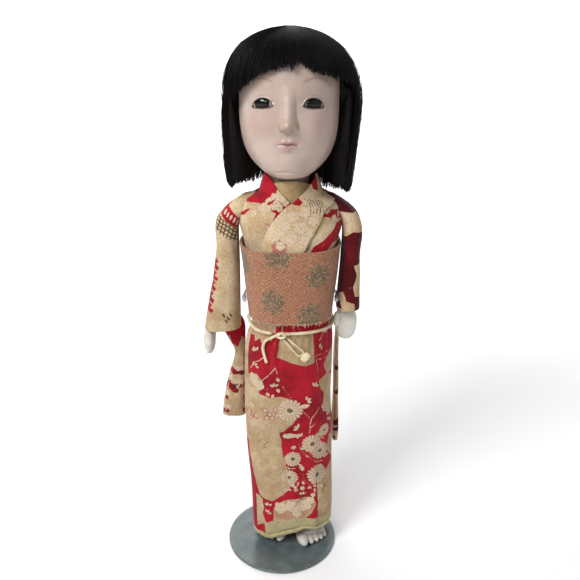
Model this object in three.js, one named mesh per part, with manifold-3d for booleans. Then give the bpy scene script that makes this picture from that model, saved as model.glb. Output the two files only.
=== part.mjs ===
import * as THREE from 'three';
import { mergeVertices } from 'three/addons/utils/BufferGeometryUtils.js';
import Module from 'manifold-3d';

const wasm = await Module();
wasm.setup();

// Sizes in millimetres. The doll faces -Y, its left side is at +X, and Z is height above the floor.
const gap = 0.35;
const cloth = 1.3;
const layerGap = gap + 0.15;
const baseRadius = 50;
const baseThickness = 2.5;
const dollX = 8;
const dollY = 12;

// Heights along the doll, each one built on the one below it
const soleZ = baseThickness + gap;
const hemZ = soleZ + 11.7;
const kneeZ = soleZ + 108;
const hipZ = kneeZ + 85;
const cordZ = hipZ + 27;
const obiBottom = cordZ + 9;
const obiHeight = 61;
const obiTop = obiBottom + obiHeight;
const shoulderZ = obiTop + 20;
const torsoTop = shoulderZ + 13;
const neckEdge = torsoTop + 8;
const chinZ = torsoTop + 26;
const headHeight = 98;
const headScale = headHeight / 98;
const hairRise = 105;

// Widths and depths of the dressed body
const skirtHalf = 36.5;
const waistHalf = 30.6;
const chestHalf = 36;
const frontDepth = 28;
const backDepth = 25;
const neckRadius = 16;
const armX = 49;

// Stand
const postY = backDepth + 6.5;
const tubeRadius = 3;
const tubeWall = 0.55;
const rodRadius = tubeRadius - tubeWall - gap;
const tubeTop = obiBottom - 80;
const clipZ = obiBottom + 13;
const rodTop = clipZ + 5;
const wireRadius = 1.1;
const tipWall = 0.45;
const tipRoom = gap - 0.1;
const cordRadius = 1.35;

const lerp = THREE.MathUtils.lerp;
const clamp = THREE.MathUtils.clamp;
const degrees = THREE.MathUtils.degToRad;
const point = (x, y, z) => new THREE.Vector3(x, y, z);
const bell = (value, middle, width) => Math.exp(-(((value - middle) / width) ** 2));
const power = (value, exponent) => Math.sign(value) * Math.abs(value) ** exponent;
const ease = (value, from, to) => THREE.MathUtils.smoothstep(value, from, to);

// Smooth curve through rows of [height, value, value...]; the rows rise in height.
function profile(rows) {
  const slope = (i, k) => {
    const before = rows[Math.max(i - 1, 0)];
    const after = rows[Math.min(i + 1, rows.length - 1)];
    return (after[k] - before[k]) / (after[0] - before[0]);
  };
  return (height) => {
    let i = 0;
    while (i < rows.length - 2 && height > rows[i + 1][0]) {
      i += 1;
    }
    const span = rows[i + 1][0] - rows[i][0];
    const t = clamp((height - rows[i][0]) / span, 0, 1);
    return rows[i].map((start, k) => {
      const end = rows[i + 1][k];
      const a = (1 + 2 * t) * (1 - t) ** 2 * start + t * t * (3 - 2 * t) * end;
      const b = t * (1 - t) ** 2 * slope(i, k) - t * t * (1 - t) * slope(i + 1, k);
      return a + b * span;
    });
  };
}

// Point on a rounded oval: angle 0 is the front, +90 degrees the doll's left side. A larger exponent is squarer.
function oval(angle, z, halfWidth, front, back, centreX, centreY, exponent, deepExponent = exponent) {
  const side = power(Math.sin(angle), 2 / exponent);
  const ahead = power(Math.cos(angle), 2 / deepExponent);
  const depth = ahead > 0 ? front : back;
  return point(centreX + halfWidth * side, centreY - depth * ahead, z);
}

function faceOut(positions, index) {
  let volume = 0;
  for (let i = 0; i < index.length; i += 3) {
    const a = positions[index[i]];
    const b = positions[index[i + 1]];
    const c = positions[index[i + 2]];
    volume += a.dot(b.clone().cross(c));
  }
  const order = [...index];
  if (volume < 0) {
    order.reverse();
  }
  const geometry = new THREE.BufferGeometry();
  geometry.setAttribute('position', new THREE.Float32BufferAttribute(positions.flatMap((p) => p.toArray()), 3));
  geometry.setIndex(order);
  return geometry;
}

// Solid through closed rings of equal count, with a flat or pointed end at each side
function loft(rings) {
  const count = rings[0].length;
  const positions = rings.flat();
  const index = [];
  for (let r = 0; r < rings.length - 1; r += 1) {
    for (let i = 0; i < count; i += 1) {
      const a = r * count + i;
      const b = r * count + ((i + 1) % count);
      index.push(a, b, b + count, a, b + count, a + count);
    }
  }
  const middle = (ring) => ring.reduce((sum, p) => sum.add(p), point(0, 0, 0)).divideScalar(count);
  const last = (rings.length - 1) * count;
  const low = positions.push(middle(rings[0])) - 1;
  const high = positions.push(middle(rings[rings.length - 1])) - 1;
  for (let i = 0; i < count; i += 1) {
    const next = (i + 1) % count;
    index.push(low, next, i, high, last + i, last + next);
  }
  return faceOut(positions, index);
}

// Sheet of cloth: at(u, v, side) gives its outer face (side 0) and its inner face (side 1).
function sheet(columns, rows, closed, at) {
  const across = closed ? columns : columns + 1;
  const positions = [];
  for (let side = 0; side < 2; side += 1) {
    for (let r = 0; r <= rows; r += 1) {
      for (let c = 0; c < across; c += 1) {
        positions.push(at(c / columns, r / rows, side));
      }
    }
  }
  const face = across * (rows + 1);
  const id = (c, r, side) => side * face + r * across + (c % across);
  const index = [];
  const quad = (a, b, c, d) => index.push(a, b, c, a, c, d);
  for (let r = 0; r < rows; r += 1) {
    for (let c = 0; c < columns; c += 1) {
      quad(id(c, r, 0), id(c + 1, r, 0), id(c + 1, r + 1, 0), id(c, r + 1, 0));
      quad(id(c, r, 1), id(c, r + 1, 1), id(c + 1, r + 1, 1), id(c + 1, r, 1));
    }
  }
  for (let c = 0; c < columns; c += 1) {
    quad(id(c, 0, 0), id(c, 0, 1), id(c + 1, 0, 1), id(c + 1, 0, 0));
    quad(id(c, rows, 0), id(c + 1, rows, 0), id(c + 1, rows, 1), id(c, rows, 1));
  }
  for (let r = 0; r < rows && !closed; r += 1) {
    quad(id(0, r, 0), id(0, r + 1, 0), id(0, r + 1, 1), id(0, r, 1));
    quad(id(columns, r, 0), id(columns, r, 1), id(columns, r + 1, 1), id(columns, r + 1, 0));
  }
  return faceOut(positions, index);
}

// Round wire or cord along a curve
function wire(points, radius, steps, sides) {
  const outline = new THREE.Shape();
  for (let i = 0; i < sides; i += 1) {
    const angle = (i / sides) * Math.PI * 2;
    const x = Math.cos(angle) * radius;
    const y = Math.sin(angle) * radius;
    if (i === 0) {
      outline.moveTo(x, y);
    } else {
      outline.lineTo(x, y);
    }
  }
  const path = new THREE.CatmullRomCurve3(points);
  return new THREE.ExtrudeGeometry(outline, { steps, bevelEnabled: false, extrudePath: path });
}

function toManifold(geometry) {
  const plain = geometry.clone();
  plain.deleteAttribute('normal');
  plain.deleteAttribute('uv');
  const joined = mergeVertices(plain, 1e-4);
  const vertProperties = new Float32Array(joined.attributes.position.array);
  const triVerts = new Uint32Array(joined.index.array);
  return new wasm.Manifold(new wasm.Mesh({ numProp: 3, vertProperties, triVerts }));
}

function fromManifold(solid) {
  const result = solid.getMesh();
  const geometry = new THREE.BufferGeometry();
  geometry.setAttribute('position', new THREE.BufferAttribute(new Float32Array(result.vertProperties), 3));
  geometry.setIndex(new THREE.BufferAttribute(new Uint32Array(result.triVerts), 1));
  return geometry;
}

const join = (...list) => fromManifold(list.map(toManifold).reduce((a, b) => a.add(b)));
const cut = (body, ...tools) => fromManifold(tools.map(toManifold).reduce((a, b) => a.subtract(b), toManifold(body)));

// Stack of circles on one upright axis, rows of [height, radius]
function turned(rows, sides, x = 0, y = 0) {
  const circle = ([z, radius]) => Array.from({ length: sides }, (_, i) => {
    return oval((i / sides) * Math.PI * 2, z, radius, radius, radius, x, y, 2);
  });
  return loft(rows.map(circle));
}

function rodAlongX(fromX, toX, radius, z) {
  const circle = (x) => Array.from({ length: 20 }, (_, i) => {
    const angle = (i / 20) * Math.PI * 2;
    return point(x, Math.cos(angle) * radius, z + Math.sin(angle) * radius);
  });
  return loft([circle(fromX), circle(toX)]);
}

function ball(x, y, z, rx, ry, rz, around = 12, up = 8) {
  const geometry = new THREE.SphereGeometry(1, around, up);
  geometry.scale(rx, ry, rz);
  geometry.translate(x, y, z);
  return geometry;
}

const root = new THREE.Group();
root.name = 'ichimatsu_doll_on_stand';
const stand = new THREE.Group();
stand.name = 'stand';
const doll = new THREE.Group();
doll.name = 'doll';
doll.position.set(dollX, dollY, 0);
root.add(stand, doll);

function add(group, name, geometry, color, roughness, metalness = 0) {
  const material = new THREE.MeshStandardMaterial({ color, roughness, metalness });
  const plain = geometry.clone();
  plain.deleteAttribute('normal');
  plain.deleteAttribute('uv');
  const body = mergeVertices(plain, 1e-4);
  body.computeVertexNormals();
  const mesh = new THREE.Mesh(body, material);
  mesh.name = name;
  group.add(mesh);
}

const paintGrey = 0x5f6e70;
const steel = 0xb9bcbd;
const gofun = 0xcdbfb8;
const whiteGofun = 0xd8d5d0;
const creamCloth = 0xc9b48f;
const redCloth = 0xb02a3c;
const cottonCloth = 0xcfc3ae;
const brocade = 0xa9705a;
const ivory = 0xd2c3a2;
const blackHair = 0x0d0c0d;

// Outline of the dressed body: [height, half width, front, back, centre X] of the under layer of cloth
const bodyRows = profile([
  [hemZ - 6, skirtHalf - 1.9, frontDepth, backDepth - 0.5, 2.7],
  [(hemZ + kneeZ) / 2, skirtHalf - 0.6, frontDepth, backDepth, 1],
  [kneeZ, skirtHalf + 0.4, frontDepth + 0.4, backDepth, -1.5],
  [hipZ, skirtHalf - 0.4, frontDepth + 0.6, backDepth, -1.7],
  [cordZ - 8, skirtHalf - 2.5, frontDepth + 0.3, backDepth - 0.4, -1],
  [cordZ, waistHalf + 1.2, frontDepth, backDepth - 0.8, 0],
  [obiBottom + 4, waistHalf, frontDepth, backDepth - 1, 0],
  [obiBottom + obiHeight / 2, lerp(waistHalf, chestHalf, 0.45), frontDepth, backDepth - 1, 0],
  [obiTop, chestHalf, frontDepth - 0.5, backDepth - 1.5, 0],
  [obiTop + 12, chestHalf + 3.1, frontDepth - 1.5, backDepth - 2.5, 0],
  [shoulderZ, chestHalf + 3.9, frontDepth - 2.4, backDepth - 3, 0],
  [shoulderZ + 7, chestHalf + 2.2, frontDepth - 3.8, backDepth - 4, 0],
  [torsoTop, neckRadius + 17, neckRadius + 6.4, neckRadius + 4.8, 0],
  [torsoTop + 4, neckRadius + 11.5, neckRadius + 5.2, neckRadius + 4.4, 0],
  [neckEdge, neckRadius + 5.5, neckRadius + 4.4, neckRadius + 4.2, 0],
]);
const bodyExponent = 2.4;
const hemExponent = 4;
// The skirt is flatter in front toward the hem.
const flatness = (z) => lerp(hemExponent, bodyExponent, ease(z, hemZ, hipZ));

// Upright folds of the skirt, deepest near the hem and gone at the waist cord
function fold(angle, z) {
  const turn = THREE.MathUtils.radToDeg(angle);
  const depth = 1 - ease(z, hemZ + 50, cordZ - 12);
  const ahead = 1.5 * bell(turn, 28, 8) - 1.2 * bell(turn, 12, 7) + 1.1 * bell(turn, -30, 9) - bell(turn, -52, 8);
  const behind = Math.sin(angle * 9) * ease(Math.abs(turn), 95, 120);
  return depth * (ahead + behind);
}

function onBody(angle, z, offset) {
  const [, halfWidth, front, back, centreX] = bodyRows(z);
  const out = offset + fold(angle, z);
  return oval(angle, z, halfWidth + out, front + out, back + out, centreX, 0, bodyExponent, flatness(z));
}

// Same surface, found by sideways place instead of by angle, on the front only
function onFront(x, z, offset) {
  const [, halfWidth, , , centreX] = bodyRows(z);
  const share = clamp((x - centreX) / (halfWidth + offset), -1, 1);
  return onBody(Math.asin(power(share, bodyExponent / 2)), z, offset);
}

// Sash: flat in front, wider at the top
const obiWall = 2;
const obiTopHalf = chestHalf + 5;
const obiHalf = (z) => lerp(waistHalf + 4.4, obiTopHalf, (z - obiBottom) / obiHeight);
function onObi(angle, z, offset) {
  const front = frontDepth + lerp(6.4, 8, (z - obiBottom) / obiHeight) + offset;
  return oval(angle, z, obiHalf(z) + offset, front, backDepth + 2 + offset, 0, 0, 2.8);
}

// The sleeves hang clear of the sash and of the clip arms on it.
const clipLift = wireRadius + gap + 0.1;
const clipFlare = 0.7;
const clipOuter = obiHalf(clipZ) + clipLift + clipFlare + wireRadius + tipRoom + tipWall;
const sleeveInner = Math.max(obiTopHalf + 0.6, clipOuter + 1.25);

// Stand
const postX = dollX;
const postRow = dollY + postY;
const edgeRound = baseThickness * 0.28;
const baseShape = [
  [0, baseRadius - edgeRound],
  [edgeRound, baseRadius],
  [baseThickness - edgeRound, baseRadius],
  [baseThickness, baseRadius - edgeRound],
];
add(stand, 'stand_base', turned(baseShape, 56), paintGrey, 0.35, 0.3);
const footShape = [
  [soleZ, tubeRadius * 1.75],
  [soleZ + 1.6, tubeRadius * 1.75],
  [soleZ + 2.4, tubeRadius + 1.7],
  [soleZ + 12, tubeRadius + 1.4],
];
const footBore = [[soleZ + 1.2, tubeRadius + gap], [soleZ + 13, tubeRadius + gap]];
const footBody = cut(turned(footShape, 24, postX, postRow), turned(footBore, 24, postX, postRow));
add(stand, 'post_foot', footBody, paintGrey, 0.35, 0.3);
const tubeBody = sheet(24, 1, true, (u, v, side) => {
  const radius = tubeRadius - side * tubeWall;
  const z = lerp(soleZ + 1.2 + gap, tubeTop, v);
  return oval(u * Math.PI * 2, z, radius, radius, radius, postX, postRow, 2);
});
add(stand, 'post_tube', tubeBody, paintGrey, 0.35, 0.3);
add(stand, 'post_rod', turned([[tubeTop - 70, rodRadius], [rodTop, rodRadius]], 20, postX, postRow), steel, 0.3, 0.9);

// Waist clip: a collar on the rod with two sprung arms that lie on the sash
const armReach = degrees(78);
function clipPath(side, from, to, count) {
  return Array.from({ length: count }, (_, i) => {
    const t = lerp(from, to, i / (count - 1));
    const angle = side * lerp(Math.PI - 0.25, armReach, t);
    return onObi(angle, clipZ, clipLift + clipFlare * ease(t, 0.6, 0.88));
  });
}
const clipStart = (side) => point(side * (rodRadius + 0.5), postY - 1, clipZ);
const collarShape = [[clipZ - 4, rodRadius + gap + 0.9], [clipZ + 4, rodRadius + gap + 0.9]];
const collarBore = [[clipZ - 5, rodRadius + gap], [clipZ + 5, rodRadius + gap]];
const collar = turned(collarShape, 20, 0, postY);
const clipArms = [1, -1].map((side) => wire([clipStart(side), ...clipPath(side, 0, 1, 14)], wireRadius, 16, 6));
const clipBody = cut(join(collar, ...clipArms), turned(collarBore, 20, 0, postY));
add(doll, 'waist_clip', clipBody, steel, 0.3, 0.9);
for (const [side, name] of [[1, 'clip_tip_left'], [-1, 'clip_tip_right']]) {
  const path = clipPath(side, 0.9, 1.03, 8);
  const sleeve = wire(path, wireRadius + tipRoom + tipWall, 4, 8);
  const bore = wire(clipPath(side, 0.86, 1.012, 8), wireRadius + tipRoom + 0.05, 4, 8);
  add(doll, name, cut(sleeve, bore), 0xc9cccd, 0.4);
}

// Inner body: chest block, cloth waist and hip block
const skin = cloth + layerGap + 0.1;
const neckX = -1;
const faceX = neckX - 0.8;
const pegRadius = 12.5;
const pegLength = 24;
function core(fromZ, toZ, steps, inset) {
  const rings = Array.from({ length: steps + 1 }, (_, r) => {
    const z = lerp(fromZ, toZ, r / steps);
    const tuck = inset + 1.4 * ease(z, obiTop - 8, shoulderZ);
    return Array.from({ length: 20 }, (__, i) => onBody((i / 20) * Math.PI * 2, z, -tuck));
  });
  return loft(rings);
}
const waistTop = obiBottom + obiHeight / 2;
const waistBottom = obiBottom + 4;
const shoulderRadius = 5;
const socketX = chestHalf - 5;
const neckSocket = turned([[torsoTop - pegLength - gap, pegRadius + gap], [torsoTop + 1, pegRadius + gap]], 24, neckX, 0);
const armSockets = [1, -1].map((side) => {
  return rodAlongX(side * (socketX - gap), side * (chestHalf + 10), shoulderRadius + gap, shoulderZ);
});
add(doll, 'chest_block', cut(core(waistTop + gap, torsoTop, 6, skin), neckSocket, ...armSockets), cottonCloth, 0.8);
add(doll, 'waist_cloth', core(waistBottom + gap, waistTop, 2, skin), cottonCloth, 0.9);
const hipRings = [[hipZ, 26, 21], [hipZ + 12, 29, 22], [cordZ, 29, 22], [waistBottom, waistHalf - skin, 22]];
const hipBody = loft(hipRings.map(([z, halfWidth, depth]) => Array.from({ length: 28 }, (_, i) => {
  return oval((i / 28) * Math.PI * 2, z, halfWidth, depth, depth, 0, 0, bodyExponent);
})));
add(doll, 'hip_block', hipBody, cottonCloth, 0.8);

// Stuffed thighs swell below the hip and narrow to the knee.
const legX = 14.2;
const thighShape = [[0, 9], [0.06, 11.2], [0.3, 13.2], [0.7, 12.4], [0.94, 10.4], [1, 8.6]];
for (const [side, name] of [[1, 'left_thigh'], [-1, 'right_thigh']]) {
  const rows = thighShape.map(([t, radius]) => [lerp(hipZ - gap, kneeZ + gap, t), radius]).reverse();
  add(doll, name, turned(rows, 14, side * legX, 0), cottonCloth, 0.9);
}

// Lower leg with foot: five toes, turned out a little
const footLength = 44;
function footRing(t, width, height) {
  return Array.from({ length: 12 }, (_, i) => {
    const angle = (i / 12) * Math.PI * 2;
    const z = height / 2 - (height / 2) * power(Math.cos(angle), 0.7);
    return point(width * power(Math.sin(angle), 0.8), -t * footLength, z);
  });
}
function lowerLeg(side, forward, turnOut) {
  const sole = [[0, 5, 12], [0.08, 8.5, 17], [0.25, 9.5, 20], [0.45, 11, 17], [0.62, 13.4, 12.5], [0.78, 14.6, 9.5]];
  const parts = [loft(sole.map(([t, width, height]) => footRing(t, width, height)))];
  const toes = [[-9.8, 0.83, 4.9, 10], [-2.4, 0.82, 3.2, 8.2], [3, 0.8, 3, 7.6], [8, 0.77, 2.8, 7], [12.4, 0.72, 2.6, 6.2]];
  for (const [x, t, width, length] of toes) {
    parts.push(ball(side * x, -t * footLength - 1, width * 0.95, width, length, width * 0.95, 7, 5));
  }
  const shape = new THREE.Matrix4().makeTranslation(0, footLength * 0.4, 0);
  const turn = new THREE.Matrix4().makeRotationZ(side * turnOut);
  const place = new THREE.Matrix4().makeTranslation(side * legX, forward, soleZ);
  const move = place.multiply(turn).multiply(shape);
  const foot = join(...parts).applyMatrix4(move);
  const shin = [[6, 8], [16, 8.3], [30, 9], [55, 11], [80, 11.2], [98, 9.4], [kneeZ - soleZ, 8.4]];
  const leg = loft(shin.map(([z, radius]) => Array.from({ length: 14 }, (_, i) => {
    const y = (forward + 6) * (1 - ease(z, 10, 90));
    return oval((i / 14) * Math.PI * 2, soleZ + z, radius, radius, radius, side * legX, y, 2);
  })));
  return join(leg, foot);
}
add(doll, 'left_lower_leg', lowerLeg(1, -2.5, degrees(18)), whiteGofun, 0.5);
add(doll, 'right_lower_leg', lowerLeg(-1, 4, degrees(12)), whiteGofun, 0.5);

// Head with neck and peg, heights counted from the chin: [height, half width, front, back]
const headRows = profile([
  [0, 19, 36, 16.5],
  [4, 24, 40, 18],
  [10, 29.7, 42, 22],
  [18, 34.1, 43.3, 28],
  [28, 37.1, 44, 34],
  [40, 38.4, 44, 39],
  [53, 38.6, 43.5, 42],
  [66, 38.4, 43, 43],
  [78, 36.5, 40.5, 42],
  [88, 32, 34, 37.5],
  [95, 23.5, 25, 28],
  [98.5, 12, 13, 15],
]);
const eyeHeight = 55;
const eyeX = 18.2;
const noseHeight = 42;
const mouthHeight = 28;

// How far the face stands out from the plain oval at a sideways place and a height above the chin
function relief(x, height) {
  const bridge = lerp(7, 1.6, clamp((height - noseHeight) / 20, 0, 1) ** 0.8) * (1 - ease(height, 56, 70));
  const nose = height < noseHeight ? 7 * ease(height, noseHeight - 6, noseHeight - 0.5) : bridge;
  const noseWidth = 4.4 + 1.6 * bell(height, noseHeight - 1, 5);
  const side = Math.abs(x);
  const hollow = -2 * bell(side, eyeX, 8.5) * bell(height, eyeHeight, 5);
  const cheek = 1.1 * bell(side, 20, 10) * bell(height, 36, 10);
  const lips = bell(side, 0, 5.6) * (1.8 * bell(height, mouthHeight, 3) - 1.3 * bell(height, mouthHeight + 0.3, 0.8));
  const crease = 5 + 0.006 * side * side;
  const chin = 1.5 * bell(side, 0, 9) * bell(height, 12, 5) - 1.2 * bell(side, 0, 15) * bell(height, crease, 1.5);
  return nose * bell(side, 0, noseWidth) + hollow + cheek + lips + chin;
}

const faceAngles = Array.from({ length: 32 }, (_, i) => {
  const turn = (i / 32 - 0.5) * Math.PI * 2;
  return turn - 0.55 * Math.sin(turn);
});
function headRing(height, grow) {
  const [, halfWidth, front, back] = headRows(height).map((value) => value * headScale);
  const z = chinZ + height * headScale;
  return faceAngles.map((angle) => {
    const spot = oval(angle, z, halfWidth + grow, front + grow, back + grow, neckX, 0, 2.2);
    if (Math.cos(angle) > 0) {
      spot.y -= relief((spot.x - faceX) / headScale, height) * Math.cos(angle) ** 0.25;
    }
    return spot;
  });
}
const headHeights = [0, 2.5, 4.6, 8, 13, 19, 24, 26.8, 28.3, 30.5, 34, 37.5, 40, 42.5, 47, 51, 55, 59, 64, 71,
  79, 87, 94, 98.5];
function neckRing(z, radius) {
  return faceAngles.map((angle) => oval(angle, z, radius, radius, radius, neckX, 0, 2));
}
function headBody(grow) {
  const neck = [
    neckRing(torsoTop - pegLength, pegRadius + grow),
    neckRing(torsoTop + gap, pegRadius + grow),
    neckRing(torsoTop + gap, neckRadius + grow),
    neckRing(torsoTop + 14, neckRadius - 0.6 + grow),
    neckRing(chinZ - 1.5 - grow, neckRadius + 0.5 + grow),
  ];
  return loft([...neck, ...headHeights.map((height) => headRing(height, grow))]);
}
// Plain form of the head that the wig sits on
const seatAngles = Array.from({ length: 24 }, (_, i) => (i / 24 - 0.5) * Math.PI * 2);
const wigSeat = loft([30, 44, 56, 66, 74, 81, 87, 92, 96, 99.2].map((height) => seatAngles.map((angle) => {
  const [, halfWidth, front, back] = headRows(height).map((value) => (value + gap * 2) * headScale);
  return oval(angle, chinZ + height * headScale + gap, halfWidth, front, back, neckX, 0, 2.2);
})));
const eyeBall = (side, grow) => ball(faceX + side * eyeX, -35.5 * headScale,
  chinZ + eyeHeight * headScale, 7.6 + grow, 4 + grow, 4.4 + grow, 12, 8);
add(doll, 'head', cut(headBody(0), eyeBall(1, gap), eyeBall(-1, gap)), gofun, 0.45);
add(doll, 'left_eye', eyeBall(1, 0), 0x17120f, 0.1);
add(doll, 'right_eye', eyeBall(-1, 0), 0x17120f, 0.1);

// Wig: straight bobbed hair with a fringe, [height above chin, half width, front, back]
const bobEdge = -11.5;
const hairRows = profile([
  [bobEdge - 2, 47.5, 44, 43],
  [0, 48.5, 46, 46],
  [20, 49, 47, 48],
  [45, 49, 47.2, 48.5],
  [66, 47.8, 47, 48],
  [80, 44.5, 44.5, 45.5],
  [90, 38.5, 38.5, 40],
  [98, 28, 29, 31],
  [hairRise - 2, 15, 16, 17.5],
  [hairRise, 3, 3, 3.5],
]);
const wigTurn = Array.from({ length: 26 }, (_, i) => (i / 26 - 0.5) * Math.PI * 2);
const wigHeights = [bobEdge, 6, 32, 56, 70, 79, 87, 94, 99, 102.8, hairRise];
const wigOutside = loft(wigHeights.map((height) => wigTurn.map((angle) => {
  const [, halfWidth, front, back] = hairRows(height).map((value) => value * headScale);
  const tilt = height === bobEdge ? -2 * Math.sin(angle) : 0;
  const fuller = angle > 0 ? 4 * headScale * Math.sin(angle) * bell(height, 50, 32) : 0;
  return oval(angle, chinZ + height * headScale + tilt, halfWidth + fuller, front, back, neckX, 0, 2.2);
})));
// Room for the neck and jaw inside the bob
const wigHollow = loft([bobEdge - 4, 0, 14, 28, 42].map((height) => wigTurn.map((angle) => {
  const [, halfWidth, front, back] = headRows(height).map((value) => value * headScale);
  const low = headScale * (1 - ease(height, bobEdge, 40));
  const z = chinZ + height * headScale;
  return oval(angle, z, halfWidth + gap + 13.5 * low, front - 2, back + gap + 8.5 * low, neckX, 0, 2.2);
})));
// Open front of the hair below the fringe, which is arched and lower at the temples
const faceHalfTurn = 70;
const faceWindow = sheet(10, 1, false, (u, v, side) => {
  const turn = lerp(-faceHalfTurn, faceHalfTurn, u);
  const fringe = lerp(82, 64, Math.min(1, (turn / 52) ** 2));
  const reach = headScale * (side === 0 ? 80 : 6);
  const z = chinZ + headScale * lerp(bobEdge - 10, fringe, v);
  return oval(degrees(turn), z, reach, reach, reach, neckX, 0, 2);
});
add(doll, 'wig', cut(wigOutside, wigSeat, wigHollow, faceWindow), blackHair, 0.5);

// Arms: rows of [X, Y, height, half width, half depth]; X counts outward from the middle of the doll.
function limb(side, rows, sides, grow = 0) {
  return loft(rows.map(([x, y, z, halfX, halfY]) => Array.from({ length: sides }, (_, i) => {
    return oval((i / sides) * Math.PI * 2, z, halfX + grow, halfY + grow, halfY + grow, side * x, y, 2.2);
  })));
}
const sleeveWall = 1.4;
function buildArm(side, name, arm) {
  const elbowZ = shoulderZ - 50;
  const upperRows = [
    [arm.elbowX, 0, elbowZ + gap, 4.2, 5],
    [arm.elbowX, 0, elbowZ + 4, 5, 6.6],
    [lerp(arm.elbowX, armX, 0.5), 0, elbowZ + 20, 5.3, 7.6],
    [armX, 0, shoulderZ - 6, 5.2, 7.4],
    [armX - 1, 0, shoulderZ, 4.4, 6.6],
    [armX - 2, 0, shoulderZ + 3.5, 2.6, 4.4],
  ];
  const stub = (grow) => rodAlongX(side * socketX, side * (armX - 1), shoulderRadius + grow, shoulderZ);
  add(doll, `${name}_upper_arm`, join(limb(side, upperRows, 12), stub(0)), cottonCloth, 0.9);

  const wristZ = arm.cuffZ + 5;
  const fore = [
    [arm.handX, arm.handY, arm.cuffZ - 10, arm.palmX, arm.palmY],
    [lerp(arm.handX, arm.wristX, 0.5), arm.handY, arm.cuffZ - 1, lerp(4.8, arm.palmX, 0.6), lerp(4.8, arm.palmY, 0.6)],
    [arm.wristX, 0, wristZ, 4.6, 4.8],
    [lerp(arm.wristX, arm.elbowX, 0.6), 0, lerp(wristZ, elbowZ, 0.6), 5.2, 5.6],
    [arm.elbowX, 0, elbowZ, 4.4, 5],
  ];
  const fingers = [-1.5, -0.5, 0.5, 1.5].map((place) => {
    const across = place * 4.2;
    const short = Math.abs(place) > 1 ? 2.2 : 0;
    const x = side * arm.handX + (arm.flat ? across : 0);
    const y = arm.handY + (arm.flat ? 0 : across);
    return ball(x, y, arm.cuffZ - 15 + short / 2, 2.5, 2.5, 10.5 - short / 2, 7, 6);
  });
  const thumbX = side * arm.handX - (arm.flat ? side * (arm.palmX - 0.5) : 0);
  const thumbY = arm.handY - (arm.flat ? 1 : arm.palmY - 0.5);
  const thumb = ball(thumbX, thumbY, arm.cuffZ - 10, 2.3, 2.3, 6.5, 8, 6);
  add(doll, `${name}_forearm_hand`, join(limb(side, fore, 14), ...fingers, thumb), whiteGofun, 0.5);

  const sleeveRows = [
    [arm.cuffZ, arm.cuffInner, arm.cuffOuter, 17, 15],
    [lerp(arm.cuffZ, obiTop, 0.35), lerp(arm.cuffInner, sleeveInner, 0.4), lerp(arm.cuffOuter, 58, 0.35), 17, 16],
    [lerp(arm.cuffZ, obiTop, 0.75), lerp(arm.cuffInner, sleeveInner, 0.85), lerp(arm.cuffOuter, 58, 0.75), 16.5, 16],
    [shoulderZ - 8, sleeveInner, 58, 15.5, 15],
    [shoulderZ, sleeveInner, 57, 14, 13],
    [shoulderZ + 5, sleeveInner, 54.4, 11.5, 10.5],
    [shoulderZ + 9, sleeveInner, 51, 8.5, 7.5],
    [shoulderZ + 12, sleeveInner, 46, 5, 4.5],
  ];
  const sleeveRing = ([z, inner, outer, front, back], inset, drop) => Array.from({ length: 18 }, (_, i) => {
    const half = (outer - inner) / 2 - inset;
    return oval((i / 18) * Math.PI * 2, z - drop, half, front - inset, back - inset, side * (inner + outer) / 2, 0, 2.6);
  });
  const outside = loft(sleeveRows.map((row) => sleeveRing(row, 0, 0)));
  const hollow = loft(sleeveRows.slice(0, 7).map((row, r) => sleeveRing(row, sleeveWall, r === 0 ? 1 : 0.6)));
  const grownArm = join(limb(side, upperRows, 12, gap), rodAlongX(side * socketX, side * (armX - 1), shoulderRadius + gap, shoulderZ));
  const bag = limb(side, arm.bag, 16);
  const mouth = limb(side, fore, 12, gap + 0.4);
  add(doll, `${name}_sleeve`, cut(join(cut(outside, hollow), bag), grownArm, mouth), redCloth, 0.85);
}
const leftCuff = shoulderZ - 80;
const rightCuff = shoulderZ - 96;
buildArm(1, 'left', {
  elbowX: 49,
  wristX: 48.5,
  handX: 47.5,
  handY: -1.5,
  palmX: 8.8,
  palmY: 4.6,
  flat: true,
  cuffZ: leftCuff,
  cuffInner: clipOuter + gap + 0.1,
  cuffOuter: 59,
  bag: [
    [44, 24, leftCuff - 145, 2.5, 11.5],
    [44, 24, leftCuff - 141, 3, 12.5],
    [44.3, 22, leftCuff - 93, 3.1, 12],
    [45, 20, leftCuff - 43, 3.4, 10],
    [47.5, 17, leftCuff - 8, 5.5, 6],
    [49.5, 13.4, leftCuff + 8, 6.5, 2.2],
  ],
});
buildArm(-1, 'right', {
  elbowX: 55,
  wristX: 64,
  handX: 69,
  handY: -1,
  palmX: 4.6,
  palmY: 8.8,
  flat: false,
  cuffZ: rightCuff,
  cuffInner: 47,
  cuffOuter: 74,
  bag: [
    [51.4, 16, rightCuff - 99, 8.6, 8.3],
    [51.4, 16, rightCuff - 95, 9.5, 9],
    [49.6, 16, rightCuff - 67, 8.2, 8.5],
    [47.8, 16, rightCuff - 27, 6.4, 7],
    [47.4, 15, rightCuff - 9, 5.6, 5],
    [54.5, 13.5, rightCuff + 8, 7.5, 2.4],
  ],
});

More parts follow.
